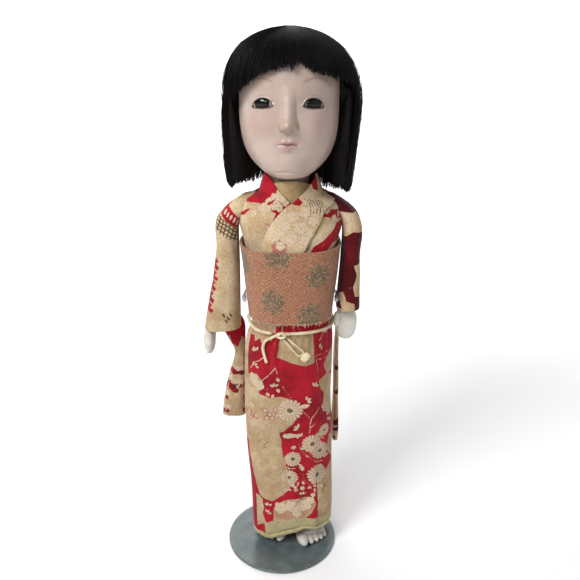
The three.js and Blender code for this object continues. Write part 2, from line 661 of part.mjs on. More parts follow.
// Kimono panels: the left front lies over the right front, and both meet the back at the sides.
// The hem climbs over the left foot and falls a little toward the side.
function rise(angle) {
  const turn = THREE.MathUtils.radToDeg(angle);
  return 12 * ease(turn, -42, 24) - 3 * ease(turn, 55, 95);
}
const panelRows = [hemZ, hemZ + 25, hemZ + 58, kneeZ, kneeZ + 45, hipZ, cordZ - 8, cordZ, obiBottom + 4,
  obiBottom + 17, obiBottom + 34, obiTop - 10, obiTop, obiTop + 10, shoulderZ, shoulderZ + 5, shoulderZ + 9.5,
  torsoTop, torsoTop + 4, neckEdge];
const rowCount = panelRows.length - 1;
const panelHeight = (v) => panelRows[Math.round(v * rowCount)];
const frontEdge = profile([
  [hemZ, -80],
  [cordZ, -79],
  [obiBottom + 4, -76],
  [obiTop - 8, -36],
  [torsoTop - 16, -12],
  [torsoTop, 10],
  [neckEdge, 48],
]);
const armholes = [1, -1].map((side) => {
  return rodAlongX(side * (chestHalf - 12), side * (chestHalf + 8), shoulderRadius + 1.5, shoulderZ);
});
// Lift of the over layer: it rises above the under collar at the chest.
function overLift(angle, z) {
  const ahead = 1 - ease(Math.abs(THREE.MathUtils.radToDeg(angle)), 45, 75);
  return layerGap + (cloth + layerGap + 0.3) * ahead * ease(z, obiBottom + 14, obiTop - 10);
}
const layerAt = (angle, z, lift, side) => onBody(angle, z, lift + (side === 0 ? cloth : 0));

const leftFront = sheet(15, rowCount, false, (u, v, side) => {
  const height = panelHeight(v);
  const angle = degrees(lerp(frontEdge(height)[1], 100, u));
  const z = height + rise(angle) * (1 - ease(height, hemZ, hemZ + 60));
  return layerAt(angle, z, overLift(angle, z), side);
});
add(doll, 'kimono_left_front', cut(leftFront, ...armholes), redCloth, 0.85);

const rightFront = sheet(12, rowCount, false, (u, v, side) => {
  const height = panelHeight(v);
  const inner = height < obiTop ? Math.min(-frontEdge(height)[1], 58) : -frontEdge(height)[1];
  const angle = degrees(lerp(-93.4, inner, u));
  const z = height + (1.5 + rise(angle)) * (1 - ease(height, hemZ, hemZ + 60));
  const beside = ease(-THREE.MathUtils.radToDeg(angle), 50, 75) * ease(z, obiTop - 20, obiTop);
  const tuck = 0.35 * (1 - ease(z, kneeZ, cordZ - 8));
  return layerAt(angle, z, beside * (cloth + gap) - cloth - tuck, side);
});
add(doll, 'kimono_right_front', cut(rightFront, ...armholes), creamCloth, 0.85);

const backPanel = sheet(13, rowCount, false, (u, v, side) => {
  const height = panelHeight(v);
  const angle = degrees(lerp(92, 265.4, u));
  return layerAt(angle > Math.PI ? angle - Math.PI * 2 : angle, height, -cloth, side);
});
add(doll, 'kimono_back', cut(backPanel, ...armholes), redCloth, 0.85);

const hemRadius = 2.2;
const hemPath = Array.from({ length: 18 }, (_, i) => {
  const angle = degrees(lerp(-79, 62, i / 17));
  const z = hemZ + rise(angle);
  return onBody(angle, z, gap + cloth / 2).setZ(z - gap - hemRadius);
});
add(doll, 'padded_hem', wire(hemPath, hemRadius, 26, 8), 0xb9b184, 0.85);

// Collar bands run from the nape round the neck and cross on the chest: [share, edge angle, edge height...]
const upperEdge = profile([
  [0, 180, neckEdge + 0.4],
  [0.25, 110, neckEdge + 6],
  [0.42, 70, neckEdge + 11],
  [0.55, 37, neckEdge + 9],
  [0.68, 9, torsoTop + 7],
  [0.84, -15, torsoTop - 13],
  [1, -34, obiTop - 5],
]);
const lowerEdge = profile([
  [0, 180, neckEdge - 7],
  [0.25, 112, neckEdge - 6],
  [0.42, 80, neckEdge - 6.5],
  [0.55, 57, neckEdge - 12],
  [0.68, 38, torsoTop - 17],
  [0.84, 22, torsoTop - 27],
  [1, 10, obiTop - 5],
]);
function collarBand(side, lift) {
  return sheet(4, 20, false, (u, v, face) => {
    const [, upperTurn, upperZ] = upperEdge(v);
    const [, lowerTurn, lowerZ] = lowerEdge(v);
    const angle = degrees(lerp(lerp(upperTurn, lowerTurn, u), 179.2, v === 0 ? 1 : 0));
    const z = lerp(upperZ, lowerZ, u);
    const low = lift(angle, z);
    return onBody(side * angle, z, low + (face === 0 ? cloth : 0));
  });
}
const overCollar = collarBand(1, (angle, z) => overLift(angle, z) + cloth + layerGap + 0.35);
const underCollar = collarBand(-1, (angle, z) => {
  const beside = ease(THREE.MathUtils.radToDeg(angle), 40, 70) * ease(z, obiTop - 20, obiTop);
  return layerGap + 0.05 + beside * (cloth + layerGap);
});
add(doll, 'collar_left', overCollar, redCloth, 0.85);
add(doll, 'collar_right', underCollar, creamCloth, 0.85);
const innerCollar = sheet(28, 1, true, (u, v, side) => {
  const angle = (u - 0.5) * Math.PI * 2;
  const stand = 11 * bell(THREE.MathUtils.radToDeg(angle), 0, 75);
  const z = lerp(torsoTop + gap, neckEdge + 0.5 + stand, v);
  return onBody(angle, neckEdge, -cloth - layerGap - 0.3 - side * 1.1).setZ(z);
});
add(doll, 'inner_collar', innerCollar, 0xbfa67c, 0.85);

// Sash and its knot at the back
const obiBody = sheet(36, 2, true, (u, v, side) => {
  return onObi(u * Math.PI * 2, lerp(obiBottom, obiTop, v), -side * obiWall);
});
add(doll, 'obi_sash', obiBody, brocade, 0.75);
const knotDepth = 8.2;
const knotRows = [[rodTop + 4, 23], [rodTop + 7, 25.5], [rodTop + 26, 26], [obiTop + 1, 26], [obiTop + 4, 23.5]];
const knotBody = loft(knotRows.map(([z, halfWidth], r) => {
  const depth = r === 0 || r === knotRows.length - 1 ? knotDepth - 2 : knotDepth;
  const middleY = backDepth + 2 + gap + knotDepth;
  return Array.from({ length: 28 }, (_, i) => {
    return oval((i / 28) * Math.PI * 2, z, halfWidth, depth, depth, 0, middleY, 3);
  });
}));
add(doll, 'obi_knot', knotBody, brocade, 0.75);

// Waist cord: a level loop, its knot left of the middle, a left tail, a right loop and a flat tassel
const overFace = cloth + layerGap;
const knotX = -7.7;
const knotSpot = onFront(knotX, cordZ - 1, overFace + gap + 2.6);
const knotTurn = Math.atan2(knotSpot.x, -knotSpot.y);
const loopPath = Array.from({ length: 40 }, (_, i) => {
  const turn = knotTurn + degrees(lerp(11, 349, i / 39));
  const angle = turn > Math.PI ? turn - Math.PI * 2 : turn;
  const deg = THREE.MathUtils.radToDeg(angle);
  const covered = deg > 0 ? 1 - ease(deg, 101, 118) : 1 - ease(-deg, 82, 97);
  return onBody(angle, cordZ, layerGap + cordRadius + overFace * covered);
});
add(doll, 'waist_cord', wire(loopPath, cordRadius, 40, 8), ivory, 0.8);
add(doll, 'cord_knot', ball(knotSpot.x, knotSpot.y, knotSpot.z, 3.8, 2.4, 3.2, 10, 7), ivory, 0.8);
const tailLift = overFace + gap + cordRadius + 0.3;
const hang = (list) => list.map(([x, z]) => onFront(x, cordZ + z, tailLift));
const leftTail = hang([[-12.2, -2.2], [-16, -4.6], [-20.4, -7.6], [-22.4, -12], [-22.4, -17], [-21.2, -22], [-19.8, -27]]);
add(doll, 'cord_left_tail', wire(leftTail, cordRadius, 12, 8), ivory, 0.8);
const rightLoop = hang([[-5.6, -5.2], [-1.5, -9.4], [3, -14.2], [7, -18.6], [8.8, -19.7], [9.6, -18.4], [8.6, -16.2],
  [4.8, -12], [0.6, -7.6], [-2.6, -4.2]]);
add(doll, 'cord_right_loop', wire(rightLoop, cordRadius, 20, 8), ivory, 0.8);
const tasselSpot = onFront(12.9, cordZ - 22.3, tailLift);
add(doll, 'cord_tassel', ball(tasselSpot.x, tasselSpot.y, tasselSpot.z, 2.6, 1.3, 3.4, 10, 6), ivory, 0.8);

export default root;
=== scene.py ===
"""Dresses the ichimatsu doll and its stand: cloth, print, brocade, hair, face, cords and paint."""

from __future__ import annotations

import logging
import math
from dataclasses import dataclass
from enum import Enum
from typing import Callable, Sequence

import bpy
import numpy as np
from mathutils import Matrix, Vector

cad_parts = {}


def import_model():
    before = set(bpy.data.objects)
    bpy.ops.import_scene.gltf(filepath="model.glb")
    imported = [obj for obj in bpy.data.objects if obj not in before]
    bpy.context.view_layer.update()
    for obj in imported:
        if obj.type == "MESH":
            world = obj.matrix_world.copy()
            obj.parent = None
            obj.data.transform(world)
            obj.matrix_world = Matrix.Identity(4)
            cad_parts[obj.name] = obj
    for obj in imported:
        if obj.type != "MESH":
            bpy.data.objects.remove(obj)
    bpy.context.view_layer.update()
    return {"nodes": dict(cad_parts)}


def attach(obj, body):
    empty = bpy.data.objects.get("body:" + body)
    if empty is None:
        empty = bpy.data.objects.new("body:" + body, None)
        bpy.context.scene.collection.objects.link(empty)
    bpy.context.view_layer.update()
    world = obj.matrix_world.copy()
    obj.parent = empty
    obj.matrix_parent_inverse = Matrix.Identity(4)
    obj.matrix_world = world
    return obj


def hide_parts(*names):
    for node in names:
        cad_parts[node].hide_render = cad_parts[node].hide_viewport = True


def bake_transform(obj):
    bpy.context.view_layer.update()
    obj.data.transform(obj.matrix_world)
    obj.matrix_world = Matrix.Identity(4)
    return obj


LOG = logging.getLogger("ichimatsu")
MM = 0.001
DOLL_AT = np.array([8.0, 12.0, 0.0])
DOLL, HEAD_BODY = "doll", "head"
PETAL_TURN = 0.3  # lean of every printed blossom, in radians
OUTSIDE = 9.0  # a distance that counts as outside every printed shape
Array = np.ndarray
Item, Finish, Socket = bpy.types.Object, bpy.types.Material, bpy.types.NodeSocket


class Side(Enum):
    """The doll's own left and right, by the sign of X."""

    LEFT = 1
    RIGHT = -1

    @property
    def word(self) -> str:
        """The side as the names of pieces have it."""
        return self.name.lower()


# Small mathematics


def bell(value: Array, middle: float, width: float) -> Array:
    """Bell curve of height 1 about a middle."""
    return np.exp(-(((value - middle) / width) ** 2))


def ease(value: Array, low: float, high: float) -> Array:
    """Smooth step from 0 at low to 1 at high."""
    t = np.clip((np.asarray(value, float) - low) / (high - low), 0.0, 1.0)
    return t * t * (3.0 - 2.0 * t)


def mix(a: Array, b: Array, t: Array) -> Array:
    """Straight blend from a to b."""
    return a + (b - a) * t


def signed_power(value: Array, exponent: float) -> Array:
    """Power that keeps the sign."""
    return np.sign(value) * np.abs(value) ** exponent


def ripple(a: Array, b: Array, seed: int, count: int = 7, low: float = 0.5, high: float = 2.0) -> Array:
    """Soft irregular waves over two coordinates.

    Args:
        a: First coordinate.
        b: Second coordinate, of the same shape.
        seed: Fixed seed of the waves.
        count: Number of waves added up.
        low: Lowest wave number.
        high: Highest wave number.

    Returns:
        Values of about -1 to 1.
    """
    rng = np.random.default_rng(seed)
    total = np.zeros(np.broadcast(a, b).shape)
    for _ in range(count):
        turn = rng.uniform(0, 2 * math.pi)
        number = rng.uniform(low, high)
        phase = rng.uniform(0, 2 * math.pi)
        total += np.sin(number * (a * math.cos(turn) + b * math.sin(turn)) + phase)
    return total / math.sqrt(count) / 1.4


class Profile:
    """Smooth curve through rows of [height, value, ...]."""

    def __init__(self, rows: Sequence[Sequence[float]]) -> None:
        """Keeps the rows and works out their slopes."""
        self.rows = np.array(rows, float)
        ends = self.rows[2:] - self.rows[:-2]
        inner = ends / ends[:, :1]
        first = (self.rows[1] - self.rows[0]) / (self.rows[1, 0] - self.rows[0, 0])
        last = (self.rows[-1] - self.rows[-2]) / (self.rows[-1, 0] - self.rows[-2, 0])
        self.slopes = np.vstack([first, inner, last])

    def __call__(self, height: Array) -> list[Array]:
        """Values at each height, one array per column after the first."""
        h = np.asarray(height, float)
        i = np.clip(np.searchsorted(self.rows[:, 0], h, side="right") - 1, 0, len(self.rows) - 2)
        span = self.rows[i + 1, 0] - self.rows[i, 0]
        t = np.clip((h - self.rows[i, 0]) / span, 0.0, 1.0)
        out = []
        for k in range(1, self.rows.shape[1]):
            a = (1 + 2 * t) * (1 - t) ** 2 * self.rows[i, k] + t * t * (3 - 2 * t) * self.rows[i + 1, k]
            b = t * (1 - t) ** 2 * self.slopes[i, k] - t * t * (1 - t) * self.slopes[i + 1, k]
            out.append(a + b * span)
        return out


def full_turn(count: int, rows: Array | float = 0.0) -> Array:
    """Angles once round, the same in each of the rows."""
    return np.linspace(-math.pi, math.pi, count, endpoint=False) + 0 * rows


def wrapped(turn: Array) -> Array:
    """Angles past half a turn, brought back below it."""
    return np.where(turn > math.pi, turn - 2 * math.pi, turn)


def run_lengths(path: Array) -> Array:
    """Length along a path up to each of its points."""
    return np.r_[0, np.cumsum(np.linalg.norm(np.diff(path, axis=0), axis=1))]


def unit(rows: Array) -> Array:
    """Rows scaled to length 1."""
    return rows / np.linalg.norm(rows, axis=1, keepdims=True)


def metres(points: Array | Sequence[float]) -> Array:
    """Points in doll millimetres, moved to the shared frame in metres."""
    return (np.asarray(points, float) + DOLL_AT) * MM


def oval(angle: Array, half: Array, front: Array, back: Array, exponent: float,
         deep: Array | None = None) -> tuple[Array, Array]:
    """Rounded oval seen from above.

    Args:
        angle: 0 is the front, a quarter turn is the doll's left.
        half: Half width.
        front: Reach to the front.
        back: Reach to the back.
        exponent: 2 is an ellipse, more is squarer.
        deep: Exponent of the depth where it differs.

    Returns:
        X and Y of each point.
    """
    side = signed_power(np.sin(angle), 2 / exponent)
    ahead = signed_power(np.cos(angle), 2 / (exponent if deep is None else deep))
    return half * side, -np.where(ahead > 0, front, back) * ahead


# Mesh building


def link_object(name: str, data: bpy.types.ID) -> Item:
    """An object in the scene for a mesh, a light or a camera."""
    item = bpy.data.objects.new(name, data)
    bpy.context.scene.collection.objects.link(item)
    return item


def make_object(name: str, points: Array, faces: Array) -> Item:
    """Mesh object from points in doll millimetres.

    Args:
        name: Object name.
        points: N by 3 points, measured from the doll's axis.
        faces: M by 4 or M by 3 corner numbers.

    Returns:
        The linked object, at the origin.
    """
    mesh = bpy.data.meshes.new(name)
    places = metres(points)
    corners = faces.shape[1]
    mesh.vertices.add(len(places))
    mesh.vertices.foreach_set("co", places.ravel())
    mesh.loops.add(faces.size)
    mesh.loops.foreach_set("vertex_index", faces.ravel().astype(np.int32))
    mesh.polygons.add(len(faces))
    mesh.polygons.foreach_set("loop_start", np.arange(0, faces.size, corners, dtype=np.int32))
    mesh.polygons.foreach_set("loop_total", np.full(len(faces), corners, dtype=np.int32))
    mesh.update(calc_edges=True)
    mesh.validate()
    mesh.polygons.foreach_set("use_smooth", np.full(len(mesh.polygons), True))
    return link_object(name, mesh)


def grid_faces(rows: int, columns: int, closed: bool) -> Array:
    """Quads of a grid of rows by columns points, facing out when rows rise and columns turn left."""
    r, c = np.meshgrid(np.arange(rows - 1), np.arange(columns if closed else columns - 1), indexing="ij")
    n = (c + 1) % columns
    quads = np.stack([r * columns + c, r * columns + n, (r + 1) * columns + n, (r + 1) * columns + c], -1)
    return quads.reshape(-1, 4)


def sheet_mesh(name: str, outer: Array, inner: Array, closed: bool) -> Item:
    """Closed sheet of cloth from its outer and inner face.

    Args:
        name: Object name.
        outer: Rows by columns by 3 points, rows rising and columns turning to the doll's left.
        inner: The same for the inner face.
        closed: Whether the columns close into a ring.

    Returns:
        The sheet object; its first points are the outer face, row by row.
    """
    rows, columns = outer.shape[:2]
    count = rows * columns
    face = grid_faces(rows, columns, closed)
    parts = [face, face[:, ::-1] + count]
    c = np.arange(columns if closed else columns - 1)
    n = (c + 1) % columns
    top = (rows - 1) * columns
    parts.append(np.stack([c + count, n + count, n, c], -1))
    parts.append(np.stack([top + c, top + n, top + n + count, top + c + count], -1))
    if not closed:
        r = np.arange(rows - 1) * columns
        e = r + columns - 1
        parts.append(np.stack([r, r + columns, r + columns + count, r + count], -1))
        parts.append(np.stack([e, e + count, e + columns + count, e + columns], -1))
    points = np.concatenate([outer.reshape(-1, 3), inner.reshape(-1, 3)])
    return make_object(name, points, np.concatenate(parts))


def loft_mesh(name: str, rings: Array) -> Item:
    """Closed body through rings (rows by columns by 3), with both ends drawn to their middles."""
    rows, columns = rings.shape[:2]
    low = rings[0].mean(0)
    high = rings[-1].mean(0)
    points = np.concatenate([rings.reshape(-1, 3), [low, high]])
    c = np.arange(columns)
    n = (c + 1) % columns
    last = (rows - 1) * columns
    size = rows * columns
    quads = grid_faces(rows, columns, True)
    caps = np.concatenate([
        np.stack([n, c, np.full(columns, size)], -1),
        np.stack([last + c, last + n, np.full(columns, size + 1)], -1),
    ])
    triangles = np.concatenate([quads[:, [0, 1, 2]], quads[:, [0, 2, 3]], caps])
    return make_object(name, points, triangles)


def tube_mesh(name: str, path: Array, radius: float, sides: int) -> Item:
    """Round tube along a path with closed ends.

    Args:
        name: Object name.
        path: N by 3 points.
        radius: Radius of the tube.
        sides: Sides of the tube.

    Returns:
        The tube object.
    """
    path = np.asarray(path, float)
    ahead = unit(np.gradient(path, axis=0))
    up = np.zeros_like(path)
    last = np.array([0.0, -1.0, 0.0])
    for i, t in enumerate(ahead):
        last = last - t * last.dot(t)
        last = last / np.linalg.norm(last)
        up[i] = last
    side = np.cross(ahead, up)
    turn = np.linspace(0, 2 * math.pi, sides, endpoint=False).reshape(1, -1, 1)
    rings = path[:, None] + radius * (np.cos(turn) * side[:, None] + np.sin(turn) * up[:, None])
    return loft_mesh(name, rings)


def smooth_path(points: Sequence[Sequence[float]], count: int) -> Array:
    """Even points along a smooth curve through the given ones."""
    p = np.asarray(points, float)
    step = np.r_[0, np.cumsum(np.sqrt(np.linalg.norm(np.diff(p, axis=0), axis=1)))]
    curve = Profile(np.column_stack([step, p]))
    fine = np.stack(curve(np.linspace(0, step[-1], count * 6)), -1)
    along = run_lengths(fine)
    even = np.linspace(0, along[-1], count)
    return np.stack([np.interp(even, along, fine[:, k]) for k in range(3)], -1)


def put_values(item: Item, name: str, values: Array, wide: int = 1) -> None:
    """Stores a number or a vector for each point.

    Args:
        item: Object whose first points the values belong to.
        name: Name that the shader reads.
        values: The values; an inner face repeats those of the outer face, and points after that get OUTSIDE.
        wide: 1 for numbers, 3 for vectors.
    """
    layer = item.data.attributes.new(name, "FLOAT_VECTOR" if wide == 3 else "FLOAT", "POINT")
    full = np.full((len(item.data.vertices), wide), OUTSIDE, np.float32)
    flat = np.asarray(values, np.float32).reshape(-1, wide)
    rest = max(0, min(len(flat), len(full) - len(flat)))
    full[: len(flat)] = flat
    full[len(flat): len(flat) + rest] = flat[:rest]
    layer.data.foreach_set("vector" if wide == 3 else "value", full.ravel())


def join_objects(name: str, items: Sequence[Item]) -> Item:
    """One object from several, keeping their attributes and materials."""
    bpy.ops.object.select_all(action="DESELECT")
    for item in items:
        item.select_set(True)
    bpy.context.view_layer.objects.active = items[0]
    bpy.ops.object.join()
    items[0].name = name
    return items[0]


def fit(item: Item, material: Finish, body: str, node: str) -> Item:
    """Gives a piece its finish, the body that it rides on and the CAD node that it stands for.

    Args:
        item: The piece.
        material: Its finish.
        body: Rigid body that carries it.
        node: CAD node that it replaces.

    Returns:
        The piece.
    """
    item.data.materials.append(material)
    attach(item, body)
    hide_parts(node)
    return item


def refinish(frame: dict, node: str, material: Finish) -> None:
    """Gives a node that stays as CAD its finish."""
    slots = frame["nodes"][node].data.materials
    slots.clear()
    slots.append(material)


# Shader building


Value = Socket | float | tuple | str


def srgb(code: str) -> tuple[float, float, float, float]:
    """Linear colour from a six-digit code."""
    parts = [int(code[i:i + 2], 16) / 255 for i in (0, 2, 4)]
    return tuple([c / 12.92 if c <= 0.04045 else ((c + 0.055) / 1.055) ** 2.4 for c in parts] + [1.0])


class Shader:
    """A material's node tree, built one value at a time."""

    def __init__(self, name: str) -> None:
        """Makes an empty material with a principled surface."""
        self.material = bpy.data.materials.new(name)
        self.material.use_nodes = True
        self.tree = self.material.node_tree
        self.tree.nodes.clear()
        out = self.tree.nodes.new("ShaderNodeOutputMaterial")
        self.surface = self.tree.nodes.new("ShaderNodeBsdfPrincipled")
        self.tree.links.new(self.surface.outputs["BSDF"], out.inputs["Surface"])
        coordinates = self.tree.nodes.new("ShaderNodeTexCoord")
        self.place = coordinates.outputs["Object"]

    def put(self, socket: Socket, value: Value) -> None:
        """Links a socket, or sets it to a number, a colour or a colour's code."""
        if isinstance(value, Socket):
            self.tree.links.new(value, socket)
        else:
            socket.default_value = srgb(value) if isinstance(value, str) else value

    def set(self, **values: Value) -> None:
        """Sets inputs of the surface, with spaces written as underscores."""
        for name, value in values.items():
            self.put(self.surface.inputs[name.replace("_", " ")], value)

    def attribute(self, name: str, vector: bool = False) -> Socket:
        """Value stored on the mesh under a name."""
        node = self.tree.nodes.new("ShaderNodeAttribute")
        node.attribute_name = name
        return node.outputs["Vector" if vector else "Fac"]

    def math(self, kind: str, a: Value, b: Value = 0.0) -> Socket:
        """One arithmetic step."""
        node = self.tree.nodes.new("ShaderNodeMath")
        node.operation = kind
        self.put(node.inputs[0], a)
        self.put(node.inputs[1], b)
        return node.outputs[0]

    def times(self, a: Value, b: Value) -> Socket:
        """Product of two values."""
        return self.math("MULTIPLY", a, b)

    def plus(self, a: Value, b: Value) -> Socket:
        """Sum of two values."""
        return self.math("ADD", a, b)

    def minus(self, a: Value, b: Value) -> Socket:
        """First value less the second."""
        return self.math("SUBTRACT", a, b)

    def parts(self, vector: Value) -> list[Socket]:
        """The three numbers of a vector."""
        node = self.tree.nodes.new("ShaderNodeSeparateXYZ")
        self.put(node.inputs[0], vector)
        return list(node.outputs)

    def ramp(self, value: Value, low: float, high: float, start: float = 0.0, end: float = 1.0) -> Socket:
        """Smooth clamped change from start at low to end at high."""
        node = self.tree.nodes.new("ShaderNodeMapRange")
        node.interpolation_type = "SMOOTHSTEP"
        for i, v in enumerate((value, low, high, start, end)):
            self.put(node.inputs[i], v)
        return node.outputs[0]

    def inside(self, distance: Value, soft: float = 0.12) -> Socket:
        """1 where a signed distance is below 0, with a soft edge."""
        return self.ramp(distance, -soft, soft, 1.0, 0.0)

    def blend(self, share: Value, a: Value, b: Value, kind: str = "MIX") -> Socket:
        """Mixes two colours."""
        node = self.tree.nodes.new("ShaderNodeMix")
        node.data_type = "RGBA"
        node.blend_type = kind
        self.put(node.inputs["Factor"], share)
        colours = [s for s in node.inputs if s.type == "RGBA"]
        self.put(colours[0], a)
        self.put(colours[1], b)
        return [s for s in node.outputs if s.type == "RGBA"][0]

    def noise(self, size: float, detail: float, stretch: tuple | None = None,
              rough: float = 0.55) -> Socket:
        """Noise of 0 to 1 with features of about a size in millimetres.

        Args:
            size: Feature size in millimetres.
            detail: Number of finer octaves.
            stretch: Share of the frequency along each axis, or none.
            rough: Weight of the finer octaves.

        Returns:
            The noise value.
        """
        at = self.place
        if stretch:
            node = self.tree.nodes.new("ShaderNodeMapping")
            self.put(node.inputs["Vector"], at)
            node.inputs["Scale"].default_value = stretch
            at = node.outputs[0]
        noise = self.tree.nodes.new("ShaderNodeTexNoise")
        self.put(noise.inputs["Vector"], at)
        noise.inputs["Scale"].default_value = 1.0 / (size * MM)
        noise.inputs["Detail"].default_value = detail
        noise.inputs["Roughness"].default_value = rough
        return noise.outputs["Fac"]

    def patches(self, size: float, detail: float, low: float, high: float, start: float = 0.0, end: float = 1.0,
                rough: float = 0.55) -> Socket:
        """Noise of a size in millimetres, sharpened by a ramp."""
        return self.ramp(self.noise(size, detail, rough=rough), low, high, start, end)

    def threads(self, size: float, share: float) -> Socket:
        """Noise drawn out upward and sideways, as a weave."""
        return self.plus(self.noise(size, 2, stretch=(1, 1, share)), self.noise(size, 2, stretch=(share, share, 1)))

    def flower(self, lobes: float) -> tuple[Socket, Socket]:
        """Distance from the middle of the nearest printed flower, and 1 along each petal down to 0 between them."""
        x, z, _ = self.parts(self.attribute("bloom", True))
        radius = self.math("SQRT", self.plus(self.times(x, x), self.times(z, z)))
        turn = self.times(self.math("ARCTAN2", z, x), lobes)
        return radius, self.math("ABSOLUTE", self.math("COSINE", turn))

    def bump(self, height: Value, depth: float, strength: float) -> None:
        """Adds a height in millimetres to the surface normal."""
        node = self.tree.nodes.new("ShaderNodeBump")
        node.inputs["Strength"].default_value = strength
        node.inputs["Distance"].default_value = depth * MM
        self.put(node.inputs["Height"], height)
        before = self.surface.inputs["Normal"]
        if before.is_linked:
            self.put(node.inputs["Normal"], before.links[0].from_socket)
        self.put(before, node.outputs[0])


@dataclass(frozen=True)
class PrintedCloth:
    """Old printed crepe: red ground, cream fields, blossoms, twigs and ink, worn and stained, with painted shade on the
    cream below the sash.
    """

    red: str = "bd192e"
    deep_red: str = "931122"
    cream: str = "cbb088"
    pale: str = "ddc8a6"
    petal: str = "d2bba4"
    pink: str = "b4605f"
    ink: str = "33231d"
    stain: str = "7d5c3c"

    def material(self, name: str) -> Finish:
        """Builds the cloth from the print attributes of the mesh.

        Args:
            name: Material name.

        Returns:
            The material.
        """
        s = Shader(name)
        wide = s.noise(26, 3)
        fine = s.noise(2.2, 4)
        wobble = s.times(s.minus(fine, 0.5), 0.55)

        def edge(attribute: str) -> Socket:
            """Share inside one printed shape, with a slightly bled outline."""
            return s.inside(s.plus(s.attribute(attribute), wobble), 0.14)

        red = s.blend(s.ramp(wide, 0.35, 0.7), self.red, self.deep_red)
        cream = s.blend(s.patches(14, 4, 0.38, 0.66), self.cream, self.pale)
        cream = s.blend(s.patches(9, 5, 0.58, 0.8, 0.0, 0.55, rough=0.7), cream, self.stain)
        # Cream below 0.19 m darkened, fading out by 0.28 m: painted shade, as the chest catches more light than the
        # skirt.
        _, _, height = s.parts(s.place)
        cream = s.blend(s.ramp(height, 0.19, 0.28, 0.45, 0.0), cream, "cdbfae", "MULTIPLY")
        petal = s.blend(fine, self.petal, self.pale)
        colour = s.blend(edge("field"), red, cream)
        colour = s.blend(s.times(s.attribute("blush"), 0.8), colour, self.pink)
        rim = s.times(s.inside(s.minus(s.attribute("petal"), 0.35)), s.ramp(edge("field"), 0, 1, 0.65, 0.34))
        colour = s.blend(rim, colour, self.deep_red)
        colour = s.blend(edge("petal"), colour, petal)
        colour = s.blend(edge("twig"), colour, petal)
        radius, lobe = s.flower(8.5)
        reach = s.plus(0.72, s.times(s.math("POWER", lobe, 0.45), 0.28))
        bloom = s.ramp(s.minus(radius, reach), -0.035, 0.035, 1.0, 0.0)
        vein = s.times(s.ramp(lobe, 0.1, 0.42, 1.0, 0.0), s.ramp(radius, 0.24, 0.5))
        daisy = s.blend(s.times(vein, 0.75), petal, self.deep_red)
        core = s.ramp(radius, 0.2, 0.26, 1.0, 0.0)
        daisy = s.blend(s.times(core, 0.8), daisy, self.ink)
        colour = s.blend(bloom, colour, daisy)
        colour = s.blend(s.times(edge("ink"), 0.85), colour, self.ink)
        colour = s.blend(edge("band"), colour, s.blend(fine, "b0a378", "c4b891"))
        worn = s.patches(5, 5, 0.62, 0.75, 0.0, 0.3, rough=0.72)
        colour = s.blend(worn, colour, self.pale)
        dirt = s.patches(38, 4, 0.3, 0.75, 0.0, 0.28)
        colour = s.blend(dirt, colour, self.stain, "MULTIPLY")
        thread = s.threads(0.55, 0.35)
        colour = s.blend(s.ramp(thread, 0.75, 1.2, 0.34, 0.0), colour, "3a1c14", "MULTIPLY")
        s.set(Base_Color=colour, Roughness=0.86, Sheen_Weight=0.08, Sheen_Roughness=0.5, Specular_IOR_Level=0.14)
        s.bump(thread, 0.22, 0.5)
        s.bump(s.plus(s.noise(3.2, 3), s.noise(9, 3, stretch=(1, 1, 0.45))), 0.9, 0.55)
        return s.material


@dataclass(frozen=True)
class Gofun:
    """Polished shell-white paint over wood paste, with old handling marks."""

    base: str
    shade: str
    grime: str = "6b5a4c"
    rough: float = 0.38

    def material(self, name: str, painted: bool = False) -> Finish:
        """Builds the painted skin.

        Args:
            name: Material name.
            painted: Whether the mesh carries the paint of the face.

        Returns:
            The material.
        """
        s = Shader(name)
        colour = s.blend(s.patches(22, 3, 0.35, 0.68), self.base, self.shade)
        spots = s.patches(2.4, 5, 0.66, 0.8, 0.0, 0.35, rough=0.75)
        colour = s.blend(spots, colour, self.grime)
        if painted:
            colour = s.blend(s.attribute("blush"), colour, "b07f7c")
            colour = s.blend(s.attribute("worn"), colour, "9a8a6c")
            # Painted brows, together with painted shade in the lip gap, lid creases, nostrils, under the lower lip and
            # beside the nose wings.
            colour = s.blend(s.attribute("shade"), colour, "6f5350")
            colour = s.blend(s.attribute("lips"), colour, "91575a")
            colour = s.blend(s.attribute("ink"), colour, "120d0c")
        s.set(Base_Color=colour, Roughness=s.patches(6, 4, 0.2, 0.8, self.rough - 0.06, self.rough + 0.1))
        s.set(Specular_IOR_Level=0.4, Subsurface_Weight=0.06, Subsurface_Scale=0.004)
        s.set(Coat_Weight=0.22, Coat_Roughness=0.24)
        s.bump(s.noise(5, 4), 0.25, 0.25)
        return s.material


